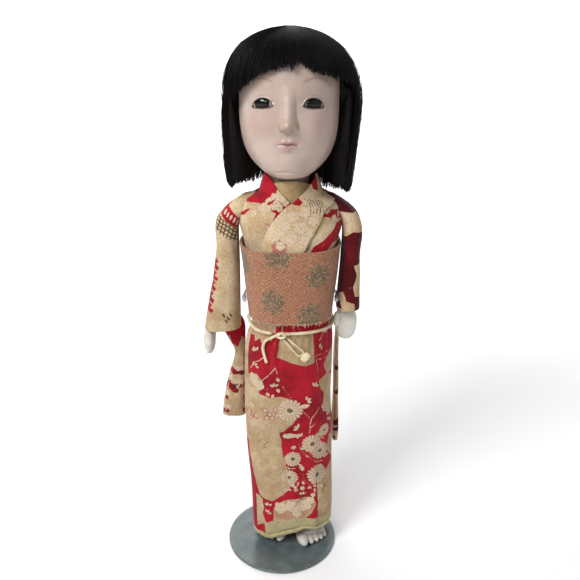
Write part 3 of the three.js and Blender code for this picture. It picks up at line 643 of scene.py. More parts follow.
@dataclass(frozen=True)
class Brocade:
    """Woven sash: brick and gold lattice with grey-green flower medallions."""

    brick: str = "702a20"
    salmon: str = "8f4233"
    gold: str = "c9966e"
    green: str = "64634e"
    dark: str = "3f2f25"

    def material(self, name: str) -> Finish:
        """Builds the lattice from the mesh's cloth coordinates in millimetres."""
        s = Shader(name)
        u, v, _ = s.parts(s.attribute("cell", True))

        def folded(x: Value) -> Socket:
            """Triangle wave of 0 to 1 with period 1."""
            return s.times(s.math("PINGPONG", x, 0.5), 2.0)

        lattice_u, lattice_v = s.math("DIVIDE", u, 4.6), s.math("DIVIDE", v, 3.0)
        a = folded(s.plus(lattice_u, lattice_v))
        b = folded(s.minus(lattice_u, lattice_v))
        line = s.ramp(s.math("MINIMUM", a, b), 0.16, 0.34, 1.0, 0.0)
        heart = s.ramp(s.plus(a, b), 1.3, 1.5)
        colour = s.blend(s.noise(7, 3), self.brick, self.salmon)
        colour = s.blend(s.times(line, 0.75), colour, self.gold)
        colour = s.blend(s.times(heart, 0.6), colour, self.gold)
        radius, lobe = s.flower(4.0)
        ragged = s.times(s.minus(s.noise(1.1, 2), 0.5), 0.3)
        reach = s.plus(s.plus(0.55, s.times(s.math("POWER", lobe, 0.7), 0.45)), ragged)
        medal = s.ramp(s.minus(radius, reach), -0.06, 0.06, 1.0, 0.0)
        vein = s.times(s.ramp(lobe, 0.1, 0.5, 1.0, 0.0), s.ramp(radius, 0.2, 0.4))
        leaf = s.blend(s.patches(1.0, 3, 0.46, 0.6, 0.0, 0.75), self.green, "4b4a3a")
        leaf = s.blend(s.patches(1.5, 3, 0.52, 0.64, 0.0, 0.7), leaf, self.gold)
        leaf = s.blend(s.times(vein, 0.6), leaf, self.brick)
        colour = s.blend(s.times(medal, 0.88), colour, leaf)
        colour = s.blend(s.patches(1.1, 2, 0.56, 0.64, 0.0, 0.6), colour, "d3ad7c")
        colour = s.blend(s.patches(1.5, 3, 0.36, 0.46, 0.5, 0.0), colour, self.dark)
        weft = s.math("SINE", s.times(v, 9.0))
        warp = s.math("SINE", s.times(u, 6.0))
        weave = s.times(weft, warp)
        colour = s.blend(s.ramp(weave, -0.9, 0.6, 0.25, 0.0), colour, self.dark)
        colour = s.blend(s.patches(16, 4, 0.5, 0.8, 0.0, 0.4), colour, "6d4b36")
        s.set(Base_Color=colour, Roughness=0.7, Specular_IOR_Level=0.35, Sheen_Weight=0.15)
        s.bump(s.plus(weave, s.times(line, 1.5)), 0.16, 0.6)
        return s.material


@dataclass(frozen=True)
class PlainCloth:
    """Plain weave or cord in two tones."""

    base: str
    other: str
    weave: float = 0.7

    def material(self, name: str) -> Finish:
        """Builds the cloth."""
        s = Shader(name)
        colour = s.blend(s.patches(9, 4, 0.4, 0.7, rough=0.65), self.base, self.other)
        thread = s.threads(self.weave, 0.3)
        colour = s.blend(s.ramp(thread, 0.75, 1.25, 0.22, 0.0), colour, (0, 0, 0, 1), "MULTIPLY")
        s.set(Base_Color=colour, Roughness=0.88, Sheen_Weight=0.2, Specular_IOR_Level=0.2)
        s.bump(thread, 0.2, 0.5)
        return s.material


@dataclass(frozen=True)
class Hair:
    """Straight black hair, dull with age."""

    base: str = "060505"
    warm: str = "130d0b"

    def material(self, name: str) -> Finish:
        """Builds the hair, lighter from strand to strand."""
        s = Shader(name)
        strand = s.noise(0.8, 2, stretch=(1, 1, 0.03))
        colour = s.blend(s.ramp(strand, 0.4, 0.7), self.base, self.warm)
        s.set(Base_Color=colour, Roughness=s.ramp(strand, 0.3, 0.7, 0.4, 0.6), Specular_IOR_Level=0.16)
        s.bump(strand, 0.4, 0.6)
        return s.material


@dataclass(frozen=True)
class Metal:
    """Painted or bare metal, or a smooth coating over it."""

    base: str
    rough: float
    bare: bool = False

    def material(self, name: str) -> Finish:
        """Builds the metal with faint wear and dust."""
        s = Shader(name)
        colour = s.blend(s.patches(12, 4, 0.35, 0.7, 0.0, 0.35), self.base, "7d8583")
        dust = s.patches(1.6, 5, 0.66, 0.8, 0.0, 0.3, rough=0.7)
        colour = s.blend(dust, colour, "a9aba5")
        s.set(Base_Color=colour, Roughness=s.patches(9, 4, 0.25, 0.8, self.rough - 0.05, self.rough + 0.12))
        s.set(Metallic=1.0 if self.bare else 0.0, Coat_Weight=0.0 if self.bare else 0.35, Coat_Roughness=0.18)
        return s.material


@dataclass(frozen=True)
class Glass:
    """Glass eye: dark iris under a clear dome."""

    iris: str = "070504"
    white: str = "b5aea6"

    def material(self, name: str) -> Finish:
        """Builds the eye from the mesh's distance to the iris edge."""
        s = Shader(name)
        colour = s.blend(s.inside(s.attribute("iris"), 0.25), self.white, self.iris)
        s.set(Base_Color=colour, Roughness=0.3, Specular_IOR_Level=0.0, Coat_Weight=0.8, Coat_Roughness=0.02)
        return s.material


# Shared measures of the doll, in millimetres from its own axis


@dataclass(frozen=True)
class Measures:
    """Heights and sizes that the pieces share."""

    gap: float = 0.35
    cloth: float = 1.3
    layer: float = 0.5
    sole: float = 2.85
    hem: float = 14.55
    knee: float = 110.85
    hip: float = 195.85
    cord: float = 222.85
    obi_low: float = 231.85
    obi_high: float = 292.85
    shoulder: float = 312.85
    torso: float = 325.85
    neck: float = 333.85
    chin: float = 351.85
    neck_x: float = -1.0
    face_x: float = -1.8


M = Measures()
BODY = Profile([
    [8.55, 34.6, 28, 24.5, 2.7], [62.7, 35.9, 28, 25, 1], [110.85, 36.9, 28.4, 25, -1.5],
    [195.85, 36.1, 28.6, 25, -1.7], [214.85, 34, 28.3, 24.6, -1], [222.85, 31.8, 28, 24.2, 0],
    [235.85, 30.6, 28, 24, 0], [262.35, 33.03, 28, 24, 0], [292.85, 36, 27.5, 23.5, 0],
    [304.85, 39.1, 26.5, 22.5, 0], [312.85, 39.9, 25.6, 22, 0], [319.85, 39.2, 24.2, 21, 0],
    [325.85, 36, 22.4, 20.8, 0], [329.85, 30.5, 21.2, 20.4, 0], [333.85, 22, 20.4, 20.2, 0],
])
BODY_POWER = 2.4


def skirt_fold(angle: Array, z: Array) -> Array:
    """Upright folds of the skirt, deepest near the hem."""
    turn = np.degrees(angle)
    depth = 1 - ease(z, M.hem + 50, M.cord - 12)
    ahead = 1.5 * bell(turn, 28, 8) - 1.2 * bell(turn, 12, 7) + 1.1 * bell(turn, -30, 9) - bell(turn, -52, 8)
    behind = np.sin(angle * 9) * ease(np.abs(turn), 95, 120)
    return depth * (ahead + behind)


def on_body(angle: Array, z: Array, offset: Array) -> Array:
    """Points at an offset from the dressed body.

    Args:
        angle: Turn about the axis, 0 in front.
        z: Height.
        offset: Distance outside the under layer of cloth.

    Returns:
        Points with the shape of angle, by 3.
    """
    half, front, back, middle = BODY(z)
    out = offset + skirt_fold(angle, z)
    flat = mix(4.0, BODY_POWER, ease(z, M.hem, M.hip))
    x, y = oval(angle, half + out, front + out, back + out, BODY_POWER, flat)
    return np.stack([x + middle, y, np.broadcast_to(z, x.shape)], -1)


def on_front(x: Array, z: Array, offset: float) -> Array:
    """The same surface found by sideways place, on the front only."""
    half, _, _, middle = BODY(z)
    share = np.clip((x - middle) / (half + offset), -1, 1)
    return on_body(np.arcsin(signed_power(share, BODY_POWER / 2)), z, offset)


# The print is laid out along the skirt's outline at one height
PRINT_HEIGHT, PRINT_OFFSET = 150.0, 2.0
SKIRT_MIDDLE, SKIRT_HALF = -1.6, 38.6
TURNS = np.radians(np.linspace(-270, 270, 1081))
_ring = on_body(TURNS, np.full(TURNS.shape, PRINT_HEIGHT), PRINT_OFFSET)
_steps = run_lengths(_ring)
ARC = _steps - np.interp(0.0, TURNS, _steps)


def around(angle: Array) -> Array:
    """Distance round the skirt's cloth from the middle of the front."""
    return np.interp(angle, TURNS, ARC)


def around_x(x: float) -> float:
    """The same for a sideways place on the front of the skirt."""
    share = np.clip((x - SKIRT_MIDDLE) / SKIRT_HALF, -0.999, 0.999)
    return float(around(np.arcsin(signed_power(np.array(share), BODY_POWER / 2))))


# Printed pattern


class Pattern:
    """Printed shapes on one cloth, as signed distances in millimetres that are below 0 inside."""

    def __init__(self, across: Array, up: Array, seed: int = 5) -> None:
        """Starts an all-red cloth.

        Args:
            across: Cloth coordinate of each point, sideways.
            up: Cloth coordinate of each point, upward.
            seed: Seed of the small waver of the outlines.
        """
        waver = 0.5 * ripple(across, up, seed, 9, 0.15, 0.7)
        self.across = across + waver
        self.up = up + 0.5 * ripple(across, up, seed + 1, 9, 0.15, 0.7)
        self.field = np.full(across.shape, OUTSIDE)
        self.petals = np.full(across.shape, OUTSIDE)
        self.twigs = np.full(across.shape, OUTSIDE)
        self.inks = np.full(across.shape, OUTSIDE)
        self.blush = np.zeros(across.shape)
        self.band = np.full(across.shape, OUTSIDE)
        self.bloom = np.full(across.shape + (3,), OUTSIDE)
        self.near = np.full(across.shape, 1.35)

    def offsets(self, ax: float, ay: float, bx: float, by: float) -> tuple[Array, Array]:
        """Way from the nearest point of a straight edge to each point of the cloth."""
        ex, ey = bx - ax, by - ay
        wx, wy = self.across - ax, self.up - ay
        t = np.clip((wx * ex + wy * ey) / (ex * ex + ey * ey + 1e-12), 0, 1)
        return wx - ex * t, wy - ey * t

    def polygon(self, corners: Sequence[tuple[float, float]]) -> Array:
        """Signed distance to a closed outline."""
        points = np.array(corners, float)
        best = np.full(self.across.shape, 1e9)
        sign = np.ones(self.across.shape)
        for (ax, ay), (bx, by) in zip(points, np.roll(points, 1, axis=0)):
            dx, dz = self.offsets(ax, ay, bx, by)
            best = np.minimum(best, dx ** 2 + dz ** 2)
            left = (bx - ax) * (self.up - ay) > (by - ay) * (self.across - ax)
            over, under = self.up >= ay, self.up < by
            flip = (over & under & left) | (~over & ~under & ~left)
            sign = np.where(flip, -sign, sign)
        return sign * np.sqrt(best)

    def line(self, points: Sequence[tuple[float, float]], width: float) -> Array:
        """Signed distance to a stroke of a width."""
        best = np.full(self.across.shape, 1e9)
        for (ax, ay), (bx, by) in zip(points[:-1], points[1:]):
            best = np.minimum(best, np.hypot(*self.offsets(ax, ay, bx, by)))
        return best - width / 2

    def cream(self, *corners: tuple[float, float]) -> None:
        """Lays a cream field."""
        self.field = np.minimum(self.field, self.polygon(corners))

    def red(self, *corners: tuple[float, float]) -> None:
        """Lays a red field over cream."""
        self.field = np.maximum(self.field, -self.polygon(corners))

    def twig(self, *points: tuple[float, float], width: float = 0.75) -> None:
        """Draws a pale stroke."""
        self.twigs = np.minimum(self.twigs, self.line(points, width))

    def ink(self, *points: tuple[float, float], width: float) -> None:
        """Draws a dark stroke."""
        self.inks = np.minimum(self.inks, self.line(points, width))

    def flush(self, *corners: tuple[float, float], amount: float) -> None:
        """Tints a field pink."""
        self.blush = np.maximum(self.blush, amount * ease(-self.polygon(corners), -0.2, 1.5))

    def blossom(self, x: float, z: float, radius: float, count: int = 5) -> None:
        """Prints a pale flower with rounded petals and a small dark heart."""
        dx, dz = self.across - x, self.up - z
        lobe = np.abs(np.cos(count / 2 * (np.arctan2(dz, dx) + PETAL_TURN))) ** 0.5
        away = np.hypot(dx, dz)
        self.petals = np.minimum(self.petals, away - radius * (0.66 + 0.34 * lobe))
        self.petals = np.where(away < radius * 0.16, 0.6, self.petals)

    def leaf(self, x: float, z: float, length: float, width: float, turn: float) -> None:
        """Prints a pale pointed leaf that leans by a turn in degrees."""
        a = math.radians(turn)
        along = (self.across - x) * math.cos(a) + (self.up - z) * math.sin(a)
        off = -(self.across - x) * math.sin(a) + (self.up - z) * math.cos(a)
        half = width / 2 * np.clip(1 - (along / (length / 2)) ** 2, 0, 1)
        side = np.where(np.abs(along) < length / 2, np.abs(off) - half, OUTSIDE)
        self.petals = np.minimum(self.petals, side)

    def spray(self, x: float, z: float, turn: float, size: float) -> None:
        """Prints a fan of three pale leaves that points along a turn in degrees."""
        for lean in (-42, 0, 42):
            a = math.radians(turn + lean)
            self.leaf(x + 0.75 * size * math.cos(a), z + 0.75 * size * math.sin(a), size, size * 0.42, turn + lean)

    def daisy(self, x: float, z: float, radius: float) -> None:
        """Prints a many-petalled daisy with a dark heart."""
        dx, dz = (self.across - x) / radius, (self.up - z) / radius
        away = np.hypot(dx, dz)
        closer = away < self.near
        self.near = np.where(closer, away, self.near)
        self.bloom[closer] = np.stack([dx, dz, np.zeros_like(dx)], -1)[closer]

    def scatter(self, low: tuple[float, float], high: tuple[float, float], seed: int, step: float = 27.0) -> None:
        """Fills a region with loosely spread cream fields, daisies, twigs and leaves.

        Args:
            low: Lowest sideways and upward place.
            high: Highest sideways and upward place.
            seed: Fixed seed.
            step: Distance between motifs.
        """
        rng = np.random.default_rng(seed)
        for x in np.arange(low[0] + step / 2, high[0], step):
            for z in np.arange(low[1] + step / 2, high[1], step):
                cx, cz = x + rng.uniform(-7, 7), z + rng.uniform(-7, 7)
                kind = rng.integers(0, 4)
                if kind == 0:
                    turns = np.linspace(0, 2 * math.pi, 9, endpoint=False)
                    reach = rng.uniform(8, 17, 9)
                    self.cream(*zip(cx + reach * np.cos(turns), cz + 1.2 * reach * np.sin(turns)))
                elif kind == 1:
                    self.daisy(cx, cz, rng.uniform(7.5, 10))
                elif kind == 2:
                    lean = rng.uniform(-6, 6)
                    self.twig((cx, cz - 11), (cx + lean, cz), (cx - lean, cz + 11))
                    self.leaf(cx + lean + 4, cz + 2, 9, 4, rng.uniform(10, 60))
                    self.blossom(cx - lean, cz + 11, 3.4)
                else:
                    self.blossom(cx, cz, rng.uniform(5, 8))

    def store(self, item: Item) -> None:
        """Writes the shapes onto the mesh that was built from the same grid."""
        for name, values in (("field", self.field), ("petal", self.petals), ("twig", self.twigs),
                             ("ink", self.inks), ("blush", self.blush), ("band", self.band)):
            put_values(item, name, values)
        put_values(item, "bloom", self.bloom, 3)


def skirt_point(x: float, z: float) -> tuple[float, float]:
    """Cloth place of a point seen on the front of the skirt."""
    return around_x(x), z


def skirt_points(*places: tuple[float, float]) -> list[tuple[float, float]]:
    """Cloth places of points seen on the front of the skirt."""
    return [skirt_point(x, z) for x, z in places]


def print_blossoms(p: Pattern, *spots: tuple[float, float, float]) -> None:
    """Prints blossoms at places seen on the front, each with its radius."""
    for x, z, radius in spots:
        p.blossom(*skirt_point(x, z), radius)


def print_skirt(p: Pattern) -> None:
    """Prints the front of the kimono below the sash."""
    at = skirt_points
    p.cream(*at((-9.9, 222), (19.6, 222), (20.4, 193.9), (12.9, 191.8), (-0.5, 195.5), (-10.9, 199.8)))
    p.cream(*at((-42, 236), (-17.2, 236), (-17.4, 214.1), (-21, 216), (-25.9, 211.5), (-28, 215), (-31.5, 211),
                (-33, 216), (-42, 216)))
    p.cream(*at((-44, 218.3), (-36.2, 216.2), (-36.7, 193.9), (-36.2, 174.3), (-37, 135.9), (-44, 135.9)))
    p.cream(*at((-41.5, 174.3), (-33.2, 179.8), (-28.3, 180.9), (-22.6, 176.5), (-24.7, 169.9), (-26.7, 164.3),
                (-17, 161), (-8.3, 163.2), (-0.5, 161), (5.4, 154.2), (6.9, 145.1), (2.5, 135.9), (-4.5, 129),
                (-8.4, 126.6), (-9.4, 135.9), (-22.2, 137.1), (-31, 139.4), (-44, 136), (-44, 160)))
    p.cream(*at((-43, 139.4), (-9.4, 136.9), (-8.5, 117.2), (-7.8, 108.6), (-3.8, 88.1), (-2.3, 69.5), (-9.1, 60.7),
                (-19.5, 53.1), (-32.5, 55.9), (-37.6, 85.6), (-42, 129.9)))
    p.red(*at((-39.4, 113), (-38, 111), (-36.6, 85.6), (-34, 56.1), (-36.4, 56.1), (-40, 85.6)))
    p.cream(*at((-36, 56), (-30, 53), (-29, 44), (-31, 36), (-27, 27), (-36, 20)))
    p.band = p.polygon(at((-29, 26.5), (-19.7, 30.6), (10.7, 34.5), (36.9, 36), (48, 36), (48, 0), (-29, 0)))
    p.ink(*at((-29, 27.2), (-19.7, 31.3), (10.7, 35.2), (36.9, 36.7)), width=0.5)
    p.cream(*at((-19.6, 45.4), (-9.1, 54.3), (6.4, 58.1), (17.8, 58.1), (19.5, 50.5), (15.9, 41.5), (11.8, 34),
                (-4, 30), (-20, 30)))
    p.cream(*at((21.8, 73.2), (26.7, 81.9), (35.8, 89.3), (44, 92), (44, 24), (22.3, 28)))
    p.cream(*at((24.6, 174.3), (34.1, 178.7), (36.2, 172.1), (40.9, 139.4), (32, 138.3), (28.9, 149.7), (30.6, 159.9),
                (27.6, 164.3)))
    p.cream(*at((34.6, 198), (30, 188), (33, 178), (44, 178), (44, 205)))
    p.cream(*at((33.6, 118), (31, 104), (36, 92), (46, 92), (46, 118)))
    for x, z, r in ((18.5, 114.9, 9), (25.6, 106.0, 8.6), (1.5, 99.9, 7.6), (21.9, 82.2, 9.8), (-2.5, 81, 7.6),
                    (-39.8, 208, 9.5), (29.3, 125.5, 6), (0, 149.5, 11)):
        p.daisy(*skirt_point(x, z), r)
    print_blossoms(
        p,
        (-31, 176, 6), (-26, 172, 5), (-13, 46, 6.4), (-2, 48, 7), (9, 49, 7), (15, 55, 4), (3, 40, 5),
        (2.7, 112.2, 2.2), (9.4, 88.7, 2.2), (2.3, 68, 2), (8, 69, 2.4), (14.5, 69, 2), (17, 61, 2.4),
    )
    for x, z in ((-18.2, 145.1), (-22, 148.7), (-15.3, 141.6), (-20.2, 141), (-11.3, 144.5), (-8.3, 148.7),
                 (-35.9, 141.7), (-30, 140.6), (-13, 150)):
        p.flush(*at((x - 3.2, z - 2.4), (x + 3, z - 2.8), (x + 2.4, z + 3), (x - 2.2, z + 2.8)), amount=1.0)
        p.blossom(*skirt_point(x + 0.3, z), 1.7, 3)
    p.flush(*at((-38, 236), (-18, 236), (-18, 216), (-38, 216)), amount=0.25)
    for x, z, length, width, turn in ((-0.5, 123.7, 14, 5, 5), (11.7, 153.4, 11, 4, 15), (-10.1, 179.8, 5, 3, 80),
                                      (-9.7, 168.8, 4.6, 3, 70), (-18.9, 164.3, 5, 3, 120), (-14.6, 163.2, 5, 2.6, 60),
                                      (-32.2, 178.7, 4, 3, 30), (14.3, 102.6, 4, 1.6, -30), (7, 105, 4, 1.6, 20),
                                      (5, 74, 5, 2, 70), (10, 74, 5, 2, 110), (19, 66, 6, 2.4, 100)):
        p.leaf(*skirt_point(x, z), length, width, turn)
    for x, z, turn in (
            (-4, 121, 60), (9, 121, 120), (11, 92, 200), (8, 60, 75), (-4, 64, 110), (24, 66, 70), (31, 96, 100),
            (33, 131, 60), (13, 158, 30), (-13, 171, 100), (27, 146, 20), (20, 170, 60), (-31, 187, 60),
            (12, 108, 90), (-1, 70, 60), (16, 72, 20), (-24, 46, 90), (-26, 38, 60), (8, 131, 150), (24, 120, 80),
            (-30, 202, 120), (26, 204, 30), (-25, 226, 60), (-12, 228, 120), (9, 227, 70), (-34, 148, 40),
            (31, 216, 80),
    ):
        p.spray(*skirt_point(x, z), turn, 4.6)
    p.flush(*at((-19, 44), (-9, 53), (6, 57), (17, 57), (19, 50), (15, 41), (11, 36), (-4, 33), (-19, 32)), amount=0.5)
    for width, *route in (
            (0.75, (-21.4, 199.3), (-31, 191.8), (-34, 184.2)), (0.75, (-12.9, 189.6), (-23.6, 176.5)),
            (0.75, (-12.9, 194), (-11, 184.2)), (0.75, (-7.2, 174.3), (0.5, 162.1)),
            (0.75, (10.3, 148.6), (17.2, 140.6), (24.9, 149.7)), (0.75, (17.2, 140.6), (15.4, 125.5)),
            (0.75, (16.5, 131), (21.2, 134.8)), (0.75, (-5.1, 232), (2.3, 224)), (0.75, (0.4, 233), (7.9, 224)),
            (0.75, (21, 199), (36, 200)), (0.75, (21, 196), (36, 192)), (0.75, (22, 196), (25, 184)),
            (0.75, (24, 210), (34, 222)), (1.4, (-17, 236), (-16.5, 222)), (1.4, (-9.3, 236), (-10, 222)),
    ):
        p.twig(*at(*route), width=width)
    for width, *route in (
            (0.7, (-28.5, 115), (-26, 117), (-24, 115)), (0.7, (-23.6, 113), (-20, 116), (-17.5, 115)),
            (0.8, (-24, 110), (-21, 112)), (0.7, (-20, 109), (-18.6, 112)),
            (0.9, (35.1, 72.7), (29.1, 66.7), (26.1, 59.4)), (0.8, (28, 70.5), (29.1, 66.7), (32, 63)),
            (0.7, (30, 73), (33, 79)), (0.5, (23, 158), (23.5, 164)),
    ):
        p.ink(*at(*route), width=width)


def print_chest(p: Pattern) -> None:
    """Prints the chest of the kimono above the sash."""
    at = skirt_points
    p.cream(*at((-44, 345), (44, 345), (44, 288), (-44, 288)))
    p.red(*at((12, 288), (15.5, 297), (22, 301), (27, 306), (30, 313), (38, 314), (44, 310), (44, 299), (30, 297),
              (22, 288)))
    p.red(*at((19, 327), (24, 324.5), (34, 322), (44, 320), (44, 314), (36, 314), (27, 317), (20, 319.5)))
    p.red(*at((30, 345), (37.5, 336.8), (44, 332), (44, 326), (36, 328), (26.3, 331), (22, 334)))
    p.ink(*at((21.5, 324), (17.5, 311), (11, 294)), width=0.7)
    p.red(*at((-30, 338), (-26, 330), (-32, 327), (-36, 318), (-44, 316), (-44, 338)))
    p.cream(*at((-38, 333), (-30, 332), (-31, 325), (-37, 322)))
    print_blossoms(
        p,
        (-33, 330, 4.2), (-26, 326, 3.8), (-38, 324, 3.6), (-30, 320, 3.2), (34, 331, 4), (40, 324, 3.6),
        (29, 316.5, 3), (37, 311, 3.2), (24, 324, 3.4),
    )
    p.flush(*at((-21, 313), (-16, 313), (-15.5, 307.5), (-20.5, 308)), amount=1.0)
    p.flush(*at((-14.6, 299.5), (-9, 303), (-3.5, 299), (-6, 293), (-13, 293)), amount=1.0)
    print_blossoms(p, (-18.2, 310.3, 1.9), (-9.4, 300.7, 2.6), (-11.5, 296, 1.7), (-5.5, 296, 1.7))
    p.leaf(*skirt_point(33, 319), 7, 2.6, 60)
    p.leaf(*skirt_point(38, 321), 6, 2.4, 100)
    p.ink(*at((-30, 329.5), (-24, 327.6), (-17, 327)), width=0.6)
    for x in np.arange(-40, -30, 3.2):
        p.twig(*at((x, 317), (x + 1.6, 321)), width=0.9)


def over_lift(angle: Array, z: Array) -> Array:
    """How far the over layer stands off the under layer."""
    ahead = 1 - ease(np.abs(np.degrees(angle)), 45, 75)
    return M.layer + (M.cloth + M.layer + 0.3) * ahead * ease(z, M.obi_low + 14, M.obi_high - 10)


def hem_rise(angle: Array) -> Array:
    """The hem climbs over the left foot and falls a little toward the side."""
    turn = np.degrees(angle)
    return 12 * ease(turn, -42, 24) - 3 * ease(turn, 55, 95)


FRONT_EDGE = Profile([
    [M.hem, -80], [M.cord, -79], [M.obi_low + 4, -76], [M.obi_high - 8, -36], [M.torso - 16, -12], [M.torso, 10],
    [M.neck, 48],
])
UPPER_EDGE = Profile([
    [0, 180, M.neck + 8], [0.25, 110, M.neck + 13], [0.42, 70, M.neck + 15], [0.52, 44, M.neck + 11.5],
    [0.62, 20, M.neck + 4], [0.7, 2, M.neck - 3], [0.84, -15, M.torso - 11], [1, -34, M.obi_high - 5],
])
LOWER_EDGE = Profile([
    [0, 180, M.neck - 7], [0.25, 112, M.neck - 6], [0.42, 76, M.neck - 5], [0.52, 52, M.neck - 6.5],
    [0.62, 34, M.neck - 10], [0.7, 25, M.torso - 12], [0.84, 16, M.torso - 24], [1, 9, M.obi_high - 5],
])


def skirt_wear(angle: Array, z: Array) -> Array:
    """Creases and puckers of the worn front, in millimetres outward."""
    s = around(angle)
    below = 1 - ease(z, M.obi_low - 6, M.obi_low + 4)
    above = ease(z, M.obi_high - 2, M.obi_high + 6)
    crease = around_x(21.0) + (215 - z) * 0.09
    step = -1.5 * ease(s - crease, -0.3, 2.2) * (1 - ease(s - crease, 9, 22))
    step *= ease(z, 138, 160) * (1 - ease(z, 212, 222))
    high = ease(z, 180, 205)
    pleat = 1.4 * bell(s, around_x(-13.4), 2.2) * high - 1.1 * bell(s, around_x(-9.6), 1.4) * high
    diagonal = (z - 49.2) - (s - around_x(1.3)) * 1.42
    flap = 1.6 * ease(diagonal, -1.0, 1.0) * bell(z, 60, 22) * ease(s, around_x(-6), around_x(4))
    flap *= 1 - ease(s, around_x(19), around_x(24))
    seam = -1.2 * bell(s, around_x(-8.3) + (130 - z) * 0.07, 0.8) * ease(z, 58, 70) * (1 - ease(z, 128, 136))
    seam -= 0.9 * bell(s, around_x(21.8), 0.9) * (1 - ease(z, 70, 80))
    gathers = 0.45 * np.sin(s * 0.9 + 1.3 * np.sin(z * 0.05)) * bell(z, M.cord - 4, 16)
    soft = (0.42 + 0.6 * (1 - ease(z, M.cord - 75, M.cord - 40))) * ripple(s, z * 0.5, 11, 9, 0.05, 0.22)
    return below * (step + pleat + flap + seam + gathers + soft) + above * 0.35 * ripple(s, z, 12, 9, 0.08, 0.3)


HEM_RADIUS = 2.2


@dataclass
class Kimono:
    """The kimono: three panels, hem roll, collar bands and inner collar."""

    printed: Finish
    hem_cloth: Finish
    collar_cloth: Finish

    @staticmethod
    def panel(name: str, angle: Array, z: Array, lift: Array, wear: Array) -> tuple[Item, Pattern]:
        """One panel of cloth on the body with its blank print.

        Args:
            name: Object name.
            angle: Turn of each grid point.
            z: Height of each grid point.
            lift: Offset of the inner face.
            wear: Creases added to both faces.

        Returns:
            The sheet and the pattern to print on it.
        """
        outer = on_body(angle, z, lift + M.cloth + wear)
        inner = on_body(angle, z, lift + wear)
        return sheet_mesh(name, outer, inner, False), Pattern(around(angle), z)

    def hang(self, item: Item, p: Pattern, node: str) -> None:
        """Prints a panel and hangs it from the shoulders.

        Args:
            item: The panel.
            p: Its print.
            node: CAD node that it stands for.
        """
        p.store(item)
        fit(item, self.printed, DOLL, node)

    def left_front(self) -> None:
        """The over panel, which shows most."""
        height = np.linspace(M.hem, M.neck, 290)[:, None]
        u = np.linspace(0, 1, 132)[None, :]
        angle = np.radians(mix(FRONT_EDGE(height)[0], 100.0, u))
        z = height + hem_rise(angle) * (1 - ease(height, M.hem, M.hem + 60))
        item, p = self.panel("front_over", angle, z, over_lift(angle, z), skirt_wear(angle, z))
        print_skirt(p)
        print_chest(p)
        p.scatter((around(np.radians(76.0)), 20), (around(np.radians(102.0)), 225), 3)
        self.hang(item, p, "kimono_left_front")

    def right_front(self) -> None:
        """The under panel, seen at the chest and along the side."""
        height = np.linspace(M.hem, M.neck, 240)[:, None]
        u = np.linspace(0, 1, 96)[None, :]
        edge = -FRONT_EDGE(height)[0]
        inner = np.where(height < M.obi_high, np.minimum(edge, 58.0), edge)
        angle = np.radians(mix(-93.4, inner, u))
        z = height + (1.5 + hem_rise(angle)) * (1 - ease(height, M.hem, M.hem + 60))
        beside = ease(-np.degrees(angle), 50, 75) * ease(z, M.obi_high - 20, M.obi_high)
        wear = 0.3 * ripple(around(angle), z, 14, 9, 0.06, 0.25) * ease(z, M.obi_high, M.obi_high + 6)
        tuck = 0.35 * (1 - ease(z, M.knee, M.cord - 8))
        item, p = self.panel("front_under", angle, z, beside * (M.cloth + M.gap) - M.cloth - tuck, wear)
        print_chest(p)
        p.scatter((around(np.radians(-95.0)), 20), (around(np.radians(-60.0)), 225), 8)
        self.hang(item, p, "kimono_right_front")

    def back(self) -> None:
        """The back panel."""
        height = np.linspace(M.hem, M.neck, 240)[:, None]
        u = np.linspace(0, 1, 110)[None, :]
        turn = np.radians(mix(92.0, 265.4, u)) + 0 * height
        angle = wrapped(turn)
        z = height + 0 * turn
        s = around(turn)
        wear = 0.4 * ripple(s, z * 0.4, 17, 9, 0.05, 0.2) * (1 - ease(z, 205, 235))
        outer = on_body(angle, z, wear)
        item = sheet_mesh("back_panel", outer, on_body(angle, z, wear - M.cloth), False)
        p = Pattern(s, z)
        p.scatter((float(s.min()), 10), (float(s.max()), 335), 21)
        self.hang(item, p, "kimono_back")

    def hem_roll(self) -> None:
        """Pale padded hem below the front panels."""
        turn = np.radians(np.linspace(-80, 62, 160))
        z = M.hem + hem_rise(turn)
        path = on_body(turn, z, M.gap + M.cloth / 2)
        path[:, 2] = z - M.gap - HEM_RADIUS + 0.35 * np.sin(np.linspace(0, 21, 160))
        item = tube_mesh("hem_roll", path, HEM_RADIUS, 18)
        fit(item, self.hem_cloth, DOLL, "padded_hem")

    def collar(self, name: str, side: Side, lift: Callable[[Array, Array], Array]) -> None:
        """One collar band round the neck.

        Args:
            name: Object name.
            side: Shoulder that the band comes from.
            lift: Offset of the band's inner face at an angle and height.
        """
        v = np.linspace(0, 1, 190)[:, None]
        u = np.linspace(0, 1, 34)[None, :]
        (upper_turn, upper_z), (lower_turn, lower_z) = UPPER_EDGE(v), LOWER_EDGE(v)
        angle = np.radians(np.minimum(mix(upper_turn, lower_turn, u), 179.2))
        z = mix(upper_z, lower_z, u)
        low = lift(angle, z) - 0.3 * np.clip(z - M.neck + 1, 0, None)
        rounded = 0.45 * np.sqrt(np.clip(1 - (2 * u - 1) ** 2, 0, 1)) + 0.2 * ripple(v * 40, u * 8, 23, 7)
        order = slice(None, None, -1) if side is Side.LEFT else slice(None)
        outer = on_body(side.value * angle, z, low + M.cloth * 0.75 + rounded)[order]
        inner = on_body(side.value * angle, z, low + 0 * u)[order]
        item = sheet_mesh(name, outer[:, ::-1], inner[:, ::-1], False)
        p = Pattern((side.value * around(angle))[order][:, ::-1], z[order][:, ::-1])
        (self.print_left_collar if side is Side.LEFT else self.print_right_collar)(p)
        p.store(item)
        fit(item, self.printed, DOLL, f"collar_{side.word}")

